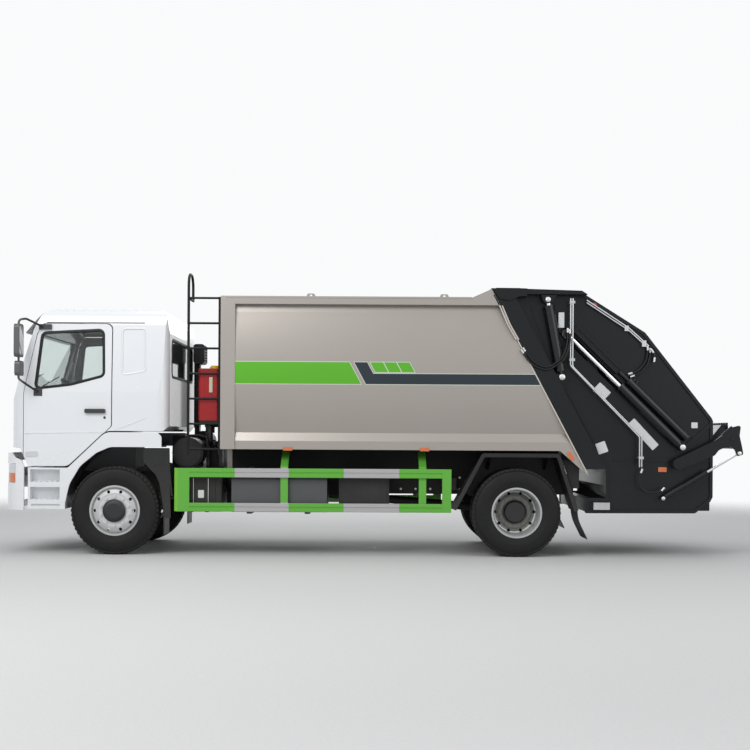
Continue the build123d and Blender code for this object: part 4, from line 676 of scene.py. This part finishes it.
zinc = bare_metal("zinc", (0.62, 0.62, 0.60), 0.34)
tank_alloy = bare_metal("tank_alloy", (0.11, 0.113, 0.118), 0.42, stretch=(1, 20, 20))
spring_steel = paint("spring_steel", (0.035, 0.034, 0.033), rough=0.6, coat=0.0, dust=0.6)

# %% [markdown]
# Glass lets light through with a faint tint. A lens is a saturated colour under a gloss coat
# with a ribbed pattern, and the headlamp's lower part is amber.

# %% Window glass and lenses
window = Finish("window_glass", Base_Color=(0.80, 0.85, 0.84), Transmission_Weight=1.0, IOR=1.45)
window.feed(Roughness=0.01 + window.noise(3, 4) * 0.03)

LENS_PITCH, LAMP_PITCH = 0.009, 0.012
TURN_LAMP_TOP = 0.950


def lens(name, colour, rough=0.12):
    """A moulded lens: a saturated colour under a gloss coat, with a fine ribbed pattern behind it."""
    made = Finish(name, Coat_Weight=1.0, Coat_Roughness=0.04)
    ribs = made.z.wave(LENS_PITCH) * made.x.wave(LENS_PITCH) * made.y.wave(LENS_PITCH * 1.4)
    ribbed = made.mix(tuple(channel * 0.55 for channel in colour), colour, ribs * 0.5 + 0.5)
    made.feed(Base_Color=ribbed, Emission_Color=ribbed,
              Roughness=rough + made.noise(30, 2) * 0.05, Normal=made.bump(ribs, 0.0005, 0.5))
    made.shader.inputs["Emission Strength"].default_value = 0.08
    return made.material


amber_lens = lens("amber_lens", (0.78, 0.16, 0.015))
red_lens = lens("red_lens", (0.55, 0.012, 0.010))
clear_lens = lens("clear_lens", (0.72, 0.74, 0.76), 0.08)
lamp_unit = Finish("headlamp_lens", Coat_Weight=1.0, Coat_Roughness=0.04)
lamp_ribs = lamp_unit.z.wave(LAMP_PITCH) * lamp_unit.y.wave(LAMP_PITCH) * 0.5 + 0.5
turn_part = 1 - lamp_unit.z.over(TURN_LAMP_TOP, 0.002)
clear_part = lamp_unit.mix((0.50, 0.52, 0.54), (0.78, 0.80, 0.82), lamp_ribs)
amber_part = lamp_unit.mix((0.50, 0.10, 0.03), (0.80, 0.22, 0.06), lamp_ribs)
lamp_colour = lamp_unit.mix(clear_part, amber_part, turn_part)
lamp_unit.feed(Base_Color=lamp_colour, Roughness=0.08 + lamp_unit.noise(30, 2) * 0.05,
               Normal=lamp_unit.bump(lamp_ribs, 0.0005, 0.5))

# %% [markdown]
# Tyres are the truck's largest dull surfaces. The rubber is dark grey rather than black, dusty
# where it meets the road, and its sidewall carries rings. The rim is silver paint with a dark
# hub: the finish measures its distance from the axle, so one rule paints both. On the rear
# wheels the deep dish inside the outer flange is painted dark as a painted shade.

# %% Rubber and rims
FRONT_AXLE_X, REAR_AXLE_X, AXLE_Z = -3040.0, 1660.0, 515.0
BETWEEN_AXLES = -0.7


def axle_radius(finish):
    """Distance from the nearer axle, seen from the side."""
    rear = finish.x.over(BETWEEN_AXLES)
    return finish.distance((REAR_AXLE_X - FRONT_AXLE_X) * MM * rear + FRONT_AXLE_X * MM, AXLE_Z * MM)


rubber = Finish("tyre_rubber", Specular_IOR_Level=0.18)
reach = axle_radius(rubber)
road = reach.over(0.500, 0.012)
scuff = rubber.noise(9, 6, 0.7) * 0.55 + rubber.noise(70, 3) * 0.25
wall_colour = rubber.mix((0.009, 0.009, 0.010), (0.024, 0.023, 0.022), scuff)
rubber.feed(Base_Color=rubber.mix(wall_colour, (0.070, 0.066, 0.060), road * scuff),
            Roughness=0.62 + road * 0.22 - scuff * 0.08,
            Normal=rubber.bump(rubber.noise(300, 3) + reach.wave(0.006) * 0.15, 0.0006, 0.6))

rim = Finish("rim_silver", Coat_Weight=0.1, Coat_Roughness=0.15)
distance = axle_radius(rim)
hub_area = 1 - distance.over(0.1345, 0.001)
nut_ring = distance.within(0.149, 0.189, 0.003)
rear_wheel = rim.x.over(BETWEEN_AXLES)
# painted shade: the rear wheels' deep dish inside 233 mm is painted dark, and its nut ring is painted less
# bright
shade = rear_wheel * (1 - distance.over(0.233, 0.004))
grime = rim.noise(11, 6, 0.7) * 0.6 + distance.over(0.23, 0.03) * rim.noise(5, 3) * 0.3
silver_paint = rim.mix((0.56, 0.565, 0.57), (0.36, 0.36, 0.355), grime)
silver_paint = rim.mix(silver_paint, (0.105, 0.105, 0.090), shade)
silver_paint = rim.mix(silver_paint, (0.70, 0.71, 0.72), nut_ring * (1 - rear_wheel * 0.7) * 0.5)
rim.feed(Base_Color=rim.mix(silver_paint, (0.008, 0.008, 0.009), hub_area),
         Metallic=0.45 * (1 - hub_area), Roughness=0.34 + grime * 0.25,
         Normal=rim.bump(rim.noise(260, 3), 0.0003, 0.5))

# %% [markdown]
# Each solid of the frame now puts on its finish.

# %% Put the finishes on the solids
dress(cab_white, "cab_shell", "door_left", "door_right", "bumper")
dress(fender_white, "steps_and_fenders")
dress(container_taupe, "container_sides", "container_front", "container_roof")
dress(hopper_dark, "rear_frame", "hopper_sides", "hopper_cover", "hopper_tub", "slide_plate", "blade",
      "ejector", "lifter_arms")
# the container's floor wears the chassis black: partly the black subframe under it, partly a painted shade
# for the shadow under the container
dress(chassis_black_and_painted_shade, "frame", "container_floor", "front_axle", "rear_axle", "propshaft",
      "air_tanks_and_silencer", "ladder", "knuckle_left", "knuckle_right")
dress(spring_steel, "springs")
dress(engine_grey, "engine_block")
dress(guard_green, "side_guards")
dress(black_plastic, "side_lockers", "air_intake", "mudguards")
dress(outside.material, "door_fittings_left", "door_fittings_right")
dress(visor.material, "cab_trim")
dress(tank_alloy, "fuel_tank")
dress(jack_black, "slide_barrels", "lift_barrels", "lifter_barrels")
dress(rod.material, "slide_rods", "lift_rods", "lifter_rods")
dress(pipe.material, "hopper_pipes")
dress(amber_lens, "marker_lamps")
dress(red_lens, "tail_lamps")
dress(lamp_unit.material, "headlamps")
dress(window.material, "cab_glass", "door_glass_left", "door_glass_right")
dress(cab_inside, "dashboard", "seats")
dress(rubber.material, "front_tyre_left", "front_tyre_right", "rear_tyres_left", "rear_tyres_right")
dress(rim.material, "front_rim_left", "front_rim_right", "rear_rims_left", "rear_rims_right")

# %% [markdown]
# The oil tank is bright red with a yellow breather cap and a pale gauge let into its face, on a
# black shelf. Height and place along the truck tell the four apart.

# %% Oil tank
tank = Finish("tank_red", Coat_Roughness=0.08)
cap_part = tank.z.over(2.189, 0.001)
shelf_part = 1 - tank.z.over(1.575, 0.0005)
GAUGE_X, GAUGE_Z, GAUGE_Y = (-1.952, -1.911), (1.904, 2.086), -1.082
gauge_part = tank.x.within(*GAUGE_X) * tank.z.within(*GAUGE_Z) * (1 - tank.y.over(GAUGE_Y))
tank_colour = tank.mix((0.36, 0.010, 0.012), (0.72, 0.42, 0.02), cap_part)
tank_colour = tank.mix(tank_colour, (0.60, 0.57, 0.42), gauge_part)
tank_colour = tank.mix(tank_colour, FRAME_BLACK, shelf_part)
dress(paint("tank_red", tank_colour, rough=0.25, coat=0.25, dust=0.05, gloss=0.25, finish=tank),
      "oil_tank")

# %% [markdown]
# A truck tyre's tread is four grooves round it and a row of shoulder blocks, and its sidewall
# bulges and carries raised rings. The surface has two parameters: the angle round the axle and
# the place along the section. The radius is the section's own radius, less the depth of the
# grooves, which is a product of two smooth steps: one of the angle and one of the distance
# from the middle.

# %% Tyres
TYRE_HALF = 135.0
TYRE_RADIUS = 515.0
BEAD_RADIUS = 297.0
GROOVE_DEPTH = 13.0
GROOVES = (-62, -21, 21, 62)
SHOULDER_BLOCKS = 56
FRONT_TYRE_OUT = 1045
TWIN_TYRES_OUT = (1078, 766)


def notch(value, middle, half, soft):
    """1 inside a groove centred on middle, falling to 0 over a soft edge."""
    return np.clip((half + soft - np.abs(value - middle)) / soft, 0, 1)


def tyre_section():
    """Section rows (out, radius) from bead to bead: walls as arcs, a shoulder, a finely divided tread."""
    height = np.linspace(0, 1, 15)
    wall_radius = BEAD_RADIUS + height * (TYRE_RADIUS - 30 - BEAD_RADIUS)
    wall_out = TYRE_HALF - 27 + 26 * np.sin(math.pi * (0.08 + 0.72 * height)) - 6 * height ** 6
    shoulder = np.array([(TYRE_HALF - 9, TYRE_RADIUS - 20), (TYRE_HALF - 17, TYRE_RADIUS - 6)])
    tread_out = np.linspace(TYRE_HALF - 24, 24 - TYRE_HALF, 61)
    crown = TYRE_RADIUS - 3.0 * (tread_out / TYRE_HALF) ** 4
    raised_rings = np.isin(np.arange(15), (5, 6, 12)) * 1.6
    wall = np.stack([wall_out + raised_rings, wall_radius], -1)
    left = np.vstack([wall, shoulder])
    return np.vstack([left, np.stack([tread_out, crown], -1), left[::-1] * [-1, 1]])


def tyre_shape(x, y, z, side):
    """The tyre's surface: radius(angle, out) = section radius - groove depth."""
    section = tyre_section()
    out, radius = section[:, 0][None], section[:, 1][None]
    angle = full_turn(SHOULDER_BLOCKS * 8)[:, None]
    tread = np.clip((radius - (TYRE_RADIUS - 12)) / 4, 0, 1)
    round_grooves = sum(notch(out, middle + 2.5 * np.sin(angle * SHOULDER_BLOCKS), 4.0, 2.5)
                        for middle in GROOVES)
    phase = (angle * SHOULDER_BLOCKS / (2 * math.pi)) % 1
    cross = notch(phase, 0.5, 0.12, 0.13) * np.clip((np.abs(out) - 76) / 6, 0, 1)
    depth = GROOVE_DEPTH * np.clip(round_grooves + cross, 0, 1) * tread
    reach_out = radius - depth
    points = np.stack([x + reach_out * np.cos(angle), y + side * out + 0 * angle,
                       z + reach_out * np.sin(angle)], -1)
    shape = grid_shape(points, wrap_rows=True)
    return shape if side > 0 else (shape[0], [face[::-1] for face in shape[1]])


for side_name, side in (("left", -1), ("right", 1)):
    front = tyre_shape(FRONT_AXLE_X, side * FRONT_TYRE_OUT, AXLE_Z, side)
    twins = [tyre_shape(REAR_AXLE_X, side * place, AXLE_Z, side) for place in TWIN_TYRES_OUT]
    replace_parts(piece(f"front_tyre_{side_name}_tread", [front], rubber.material,
                      f"front_wheel_{side_name}"), f"front_tyre_{side_name}")
    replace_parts(piece(f"rear_tyres_{side_name}_tread", twins, rubber.material,
                      f"rear_wheel_{side_name}"), f"rear_tyres_{side_name}")

# %% [markdown]
# Window rubbers are beads carried round the glass. The door's side wall leans in above the
# belt line, so the bead's height off the wall is measured from a leaning plane.

# %% Window rubbers
CAB_HALF = 1175.0
BELT = 1900.0
SIDE_LEAN = 45.0 / 805.0
SCREEN_FOOT = (-4222.0, 1905.0)
SCREEN_LEAN = 222.0 / 725.0
CAB_REAR = -2420.0


def on_side(flat, proud):
    """Lays (x, z) on the cab's side wall: y = half width - lean * height over the belt."""
    y = CAB_HALF - SIDE_LEAN * np.clip(flat[..., 1] - BELT, 0, None) + proud
    return np.stack([flat[..., 0], y, flat[..., 1]], -1)


def on_screen(flat, proud):
    """Lays (y, z) on the sloping windscreen plane."""
    x = SCREEN_FOOT[0] + SCREEN_LEAN * (flat[..., 1] - SCREEN_FOOT[1]) - proud * 0.956
    return np.stack([x, flat[..., 0], flat[..., 1] + proud * 0.293], -1)


def on_rear(flat, proud):
    """Lays (y, z) on the cab's rear wall."""
    return np.stack([CAB_REAR + proud, flat[..., 0], flat[..., 1]], -1)


RUBBER_SECTION = [(-17, -26), (-17, 0), (-14, 5), (8, 7), (14, 4), (16, -2), (2, -4), (2, -26)]
door_window = rounded([(-3975, 1936, 50), (-3899, 2592, 60), (-3183, 2630, 60), (-3172, 2091, 60),
                       (-3560, 1985, 500)], 10)
screen = rounded([(-985, 1930, 90), (985, 1930, 90), (925, 2590, 110), (-925, 2590, 110)], 10)
rear_window = rounded(rectangle(-880, 880, 2092, 2540, 80), 10)
door_pieces("door_seal", [bead(door_window, RUBBER_SECTION, on_side)], rubber_seal)
piece("cab_window_seals", [bead(screen, RUBBER_SECTION, on_screen),
                           bead(rear_window, RUBBER_SECTION, on_rear)], rubber_seal, "cab")

# %% [markdown]
# Blank placards: white plates on the hopper's side, each a thin slab with softened corners,
# lying along the direction of the part that it is fixed to. Small marker lenses are made the
# same way.

# %% Placards and markers
label = Finish("label_white", Coat_Weight=0.3)
label.feed(Base_Color=label.mix((0.66, 0.67, 0.68), (0.76, 0.76, 0.76), label.noise(7, 4)),
           Roughness=0.35 + label.noise(30, 3) * 0.1, Normal=label.bump(label.noise(90, 2), 0.0002, 0.5))


def plate(x, z, length, height, turn, y0, y1, radius=8):
    """A rounded plate centred at (x, z), turned in its own plane by degrees."""
    c, s = math.cos(math.radians(turn)), math.sin(math.radians(turn))
    halves = [(a * length / 2, b * height / 2) for a, b in ((-1, -1), (1, -1), (1, 1), (-1, 1))]
    corners = [(x + c * across - s * up, z + s * across + c * up, radius) for across, up in halves]
    return slab(corners, y0, y1, "Y", 1.0, 4)


def strip(x0, z0, x1, z1, width, y0, y1):
    """A narrow plate from one point to another in side view."""
    length, turn = math.hypot(x1 - x0, z1 - z0), math.degrees(math.atan2(z1 - z0, x1 - x0))
    return plate((x0 + x1) / 2, (z0 + z1) / 2, length, width, turn, y0, y1, width * 0.4)


HOPPER_SIDE = 1090.0
PLACARDS = [
    # x, z, length, height, turn
    (2660, 1944, 178, 128, -43),
    (3152, 1442, 425, 98, -47),
    (2664, 1281, 118, 132, 20),
    (3751, 1551, 74, 68, 0),
]
BOX_FACE = 1099.0
piece("placards", both_sides([plate(*row, HOPPER_SIDE, HOPPER_SIDE + 4) for row in PLACARDS]),
      label.material, "hopper")
piece("box_label", [mirrored(plate(-2038, 712, 70, 92, 0, BOX_FACE, BOX_FACE + 4))], label.material,
      "chassis")
piece("hopper_markers", both_sides([plate(3375, 1029, 100, 56, 0, HOPPER_SIDE, HOPPER_SIDE + 14)]),
      amber_lens, "hopper")
piece("cover_markers", both_sides([plate(2568, 2958, 46, 40, -32, HOPPER_SIDE, HOPPER_SIDE + 24)]),
      red_lens, "hopper")

# %% [markdown]
# Hydraulic hoses are rubber tubes with a bright ferrule at each end. Each hose follows a few
# corners, rounded off, from one fitting to the next; all of them ride on the hopper, so no hose
# ever has to stretch. The two of a pair run side by side.

# %% Hoses and their fittings
HOSE_RADIUS = 11.0
FERRULE_RADIUS, FERRULE_LENGTH = 14.0, 52
HOSES = [
    # distance out, bend, then corners (x, z) from fitting to fitting
    (1238, 70, [(2235, 2672), (2235, 2494), (2177, 2319), (2002, 2202), (1842, 2264), (1712, 2440)]),
    (1238, 70, [(2262, 2660), (2263, 2486), (2198, 2294), (1998, 2172), (1820, 2240), (1692, 2418)]),
    (1236, 44, [(3113, 1040), (3078, 935), (3090, 819), (3172, 764), (3323, 772), (3372, 822)]),
    (1132, 50, [(3185, 2478), (3190, 2400), (3165, 2285), (3075, 2180), (2960, 2145)]),
    (1132, 50, [(3215, 2452), (3222, 2380), (3190, 2255), (3095, 2150), (2985, 2112)]),
    (1150, 40, [(3222, 2440), (3270, 2370), (3260, 2290)]),
]


def in_space(corners, y):
    """Corners (x, z) at one distance out."""
    return [(x, y, z) for x, z in corners]


def ferrule(first, second):
    """A short sleeve that starts at the first point and runs towards the second."""
    start = np.array(first, float)
    way = unit(np.array(second, float) - start) * FERRULE_LENGTH
    return tube([start, start + way * 0.5, start + way], FERRULE_RADIUS)


hoses, ferrules = [], []
for out, bend, corners in HOSES:
    line = in_space(corners, out)
    hoses.append(tube(smooth_path(line, bend), HOSE_RADIUS))
    ferrules += [ferrule(line[0], line[1]), ferrule(line[-1], line[-2])]
piece("hopper_hoses", both_sides(hoses), rubber_seal, "hopper")
piece("hose_ferrules", both_sides(ferrules), zinc, "hopper")

# %% [markdown]
# Bright round caps mark the pins of the cylinders, and hexagon bolts hold the plates. Both are
# profiles turned about the truck's cross axis: a cap has many sides and a bolt's head has six.
# Narrow ribs stiffen the hopper's sheets, and two rods clamp the box behind the front wheel.

# %% Pin caps, bolts, ribs and rods
PIN_CAPS = [
    # body, x, z, place of the face, radius
    ("hopper", 2009, 3007, 1208, 30),
    ("chassis", 2178, 2103, 1214, 34),
    ("hopper", 3591, 1291, 1205, 33),
    ("hopper", 3362, 695, 1219, 22),
    ("lifter_arms", 4242, 1224, 1246, 24),
]
for number, (body, x, z, face, radius) in enumerate(PIN_CAPS):
    rows = [(face - 1, radius), (face + 6, radius), (face + 9, radius - 4), (face + 9, 1.0)]
    piece(f"pin_caps_{number}", both_sides([turned(rows, x, z, 40)]), zinc, body)


def bolt(x, z, face, radius):
    """A hexagon head on its washer, proud of a side face."""
    washer = turned([(face, radius * 1.5), (face + 2, radius * 1.5), (face + 2, 1.0)], x, z, 20)
    head = turned([(face + 2, radius), (face + 9, radius), (face + 9, 1.0)], x, z, 6)
    return [washer, head]


RAIL_SIDE = 430.0
BOLT_ROWS = [
    # name, body, first (x, z), last (x, z), count, face, radius
    ("rail_bolts_low", "chassis", (-1660, 760), (2300, 760), 23, RAIL_SIDE, 9),
    ("rail_bolts_high", "chassis", (-1660, 900), (2300, 900), 23, RAIL_SIDE, 9),
    ("seam_bolts", "hopper", (1760, 2720), (2620, 1110), 12, HOPPER_SIDE, 8),
    ("foot_bolts", "hopper", (2560, 560), (3680, 560), 12, HOPPER_SIDE, 8),
]
for name, body, first, last, count, face, radius in BOLT_ROWS:
    bolts = []
    for share in np.linspace(0, 1, count):
        x, z = (start + share * (end - start) for start, end in zip(first, last))
        bolts += bolt(x, z, face, radius)
    piece(name, both_sides(bolts), zinc if body == "chassis" else hopper_dark, body)

PANEL_RIBS = [
    # first x, z, then last x, z
    (1700, 2905, 2010, 2272),
    (1815, 2950, 2040, 2330),
    (2232, 1964, 2577, 1334),
]
ribs = [strip(*row, 16, HOPPER_SIDE - 1, HOPPER_SIDE + 7) for row in PANEL_RIBS]
piece("panel_ribs", both_sides(ribs), hopper_dark, "hopper")
ROD_OUT, ROD_PLACES, ROD_HEIGHTS = 1113, (-2126, -1952), (606, 750, 898)
strap_rods = [tube([(x, ROD_OUT, z) for z in ROD_HEIGHTS], 5.0) for x in ROD_PLACES]
piece("strap_rods", [mirrored(rod) for rod in strap_rods], zinc, "chassis")

# %% [markdown]
# Behind the cab and between the wheels a truck is full of dark parts that hide the daylight:
# the cab's rear support with a bank of valves and hoses, the sheet between a front wheel and
# its flap, and the beam that carries the rear mudguards. They are drawn here as plain rounded
# blocks, plates and thick tubes. They are also painted shade: dark blocks and sheets that fill
# what is seen between the solids, where only shadow shows.

# %% Dark parts and painted shade between the solids
# painted shade: these dark blocks, partly the cab's rear support, fill gaps between the solids where shadow
# is seen
SHADE_FILLING_BLOCKS = [
    # x from, to, y from, to, z from, to
    (-2482, -2322, -415, 415, 1268, 1400),
    (-2482, -2322, -415, -335, 1006, 1270),
    (-2482, -2322, 335, 415, 1006, 1270),
    (-2042, -1892, -390, 390, 1006, 1330),
    (2340, 2400, -1036, 1036, 840, 940),
]
SUPPORT_HOSES = [(1386, -180), (1352, -60), (1320, 60), (1290, 180), (1362, 250), (1326, -260)]
FLAP_OUT, BEAM_OUT = (1150.0, 1163.0), (1040.0, 1058.0)
parts_and_painted_shade = [slab(rectangle(x0, x1, z0, z1, 12.0), y0, y1, "Y", 4.0, 4)
              for x0, x1, y0, y1, z0, z1 in SHADE_FILLING_BLOCKS]
for z, y in SUPPORT_HOSES:
    parts_and_painted_shade.append(tube(smooth_path([(-2325, y, z), (-2200, y, z + 6), (-2100, y * 0.9, z - 20),
                                        (-1990, y * 0.8, z - 70)], 45), 24.0))
piece("cab_support_and_painted_shade", parts_and_painted_shade, chassis_black_and_painted_shade, "chassis")
# the flap sheet and the beam plate are partly real sheets and partly painted shade, dark sheet put where
# shadow is seen
flap_sheet = slab([(-2705, 1250, 12), (-2400, 1250, 12), (-2385, 431, 8), (-2449, 431, 8), (-2530, 900, 60),
                   (-2705, 1080, 20)], *FLAP_OUT)
beam_plate = slab([(2215, 1100, 10), (2405, 1100, 10), (2405, 800, 10), (2320, 800, 10)], *BEAM_OUT)
piece("flap_sheets_and_painted_shade", both_sides([flap_sheet, beam_plate]), black_plastic, "chassis")

# %% [markdown]
# Fine lines make sheet metal read as sheet metal: the crease along the doors and the sleeper,
# the rim round the sleeper's pressed panel, and the dark gutter under the roof. Each is a strip
# or a bead a few millimetres proud. The side lamps sit in thin rims.

# %% Creases, side lamps and gutter
door_crease = strip(-4092, 1416, -3178, 1434, 16, CAB_HALF - 1, CAB_HALF + 5.0)
SIDE_LAMP = (-4009, 1171)
lamp_face = plate(*SIDE_LAMP, 146, 62, 2, CAB_HALF - 2, CAB_HALF + 7, 14)
lamp_rim = plate(*SIDE_LAMP, 158, 74, 2, CAB_HALF - 2, CAB_HALF + 3, 18)
door_pieces("door_crease", [door_crease], cab_white)
door_pieces("side_lamp", [lamp_face], clear_lens)
door_pieces("side_lamp_rim", [lamp_rim], cab_white)
sleeper_crease = strip(-3050, 1456, -2662, 1610, 14, CAB_HALF - 1, CAB_HALF + 5.0)
piece("sleeper_creases", both_sides([sleeper_crease]), cab_white, "cab")
RIM_SECTION = [(-13, -2), (-9, 3), (-3, 5), (3, 5), (9, 3), (13, -2)]
sleeper_panel = rounded([(-2964, 2099, 45), (-2964, 2647, 45), (-2684, 2647, 45), (-2684, 2150, 45)], 8)
sleeper_rim = bead(sleeper_panel, RIM_SECTION, on_side)
piece("sleeper_rims", both_sides([sleeper_rim]), cab_white, "cab", 60)
GUTTER_Z = 2712
gutter_out = CAB_HALF - SIDE_LEAN * (GUTTER_Z - BELT)
gutter = strip(-3850, GUTTER_Z, -2700, GUTTER_Z, 9, gutter_out - 4, gutter_out + 3)
piece("gutter_lines", both_sides([gutter]), rubber_seal, "cab")

# %% [markdown]
# The mirrors have glass on their rear faces, two wipers rest on the windscreen, and a small
# rubber knob stands on the roof.

# %% Mirror glass, wipers and roof knob
silvered = Finish("mirror_glass", Metallic=1.0, Coat_Weight=0.5)
silvered.feed(Base_Color=silvered.mix((0.55, 0.58, 0.60), (0.62, 0.65, 0.67), silvered.noise(4)),
              Roughness=0.03 + silvered.noise(6, 3) * 0.02)
MIRRORS = [(1318, 1482, 2318, 2642), (1326, 1474, 2096, 2224)]
GLASS_FACES = (-4079.0, -4075.0)
mirror_shapes = [slab(rectangle(*row, 30), *GLASS_FACES, "X", 1.0, 5) for row in MIRRORS]
door_pieces("mirror_glass", mirror_shapes, silvered.material)


wipers = []
for foot, tip in ((-760, -60), (60, 760)):
    middle = (foot + tip) / 2
    arm = on_screen(np.array([(foot, 1925), (foot + 40, 1975), (middle, 2080)], float), 26)
    blade = on_screen(np.array([(middle - 330, 2010), (middle, 2082), (middle + 330, 2154)], float), 10)
    wipers += [tube(smooth_path(arm, 20), 8.0), tube(blade, 7.0)]
piece("wipers", wipers, rubber_seal, "cab")

KNOB_PLACE = (-3617, -260, 2902)
KNOB_PROFILE = [(0, 26), (10, 24), (24, 12), (26, 1)]


def knob_shape():
    """The knob's profile (rise, radius) swung about an upright axis."""
    angle = full_turn(24)[None]
    rise, radius = (np.array(KNOB_PROFILE, float)[:, column][:, None] for column in (0, 1))
    swung = np.stack([radius * np.cos(angle), radius * np.sin(angle), rise + 0 * angle], -1)
    return outside_out(*grid_shape(KNOB_PLACE + swung, wrap_columns=True, cap_ends=True))


piece("roof_knob", [knob_shape()], rubber_seal, "cab")

# %% [markdown]
# The container's rear edge is turned out into a pale flange along the slanted frame, with a
# pair of pipes in the same paint at its upper end.

# %% Flange and its pipes
flange_light = paint("flange_light", (0.60, 0.55, 0.48), rough=0.35, dust=0.1,
                     finish=Finish("flange_light", Coat_Roughness=0.1))
SEAM_HIGH, SEAM_LOW = (1343.0, 3138.0), (2498.0, 958.0)
FLANGE_TOP, FLANGE_FOOT, FLANGE_OUT = 3060, 990, (1211.0, 1220.0)
SEAM_PIPE = [(1458, 2929), (1551, 2708), (1652, 2535)]
PIPE_OUT, PIPE_SHIFTS = 1232, (-14, 14)


def on_seam(z, back):
    """The seam's place along the truck at a height, moved back."""
    share = (SEAM_HIGH[1] - z) / (SEAM_HIGH[1] - SEAM_LOW[1])
    return SEAM_HIGH[0] + share * (SEAM_LOW[0] - SEAM_HIGH[0]) + back


seam_flange = strip(on_seam(FLANGE_TOP, -10), FLANGE_TOP, on_seam(FLANGE_FOOT, -10), FLANGE_FOOT, 15,
                    *FLANGE_OUT)
piece("seam_flange", both_sides([seam_flange]), flange_light, "chassis")
seam_pipes = [tube(smooth_path(in_space([(x + shift, z) for x, z in SEAM_PIPE], PIPE_OUT), 60), 9.0)
              for shift in PIPE_SHIFTS]
piece("seam_pipes", both_sides(seam_pipes), flange_light, "chassis")
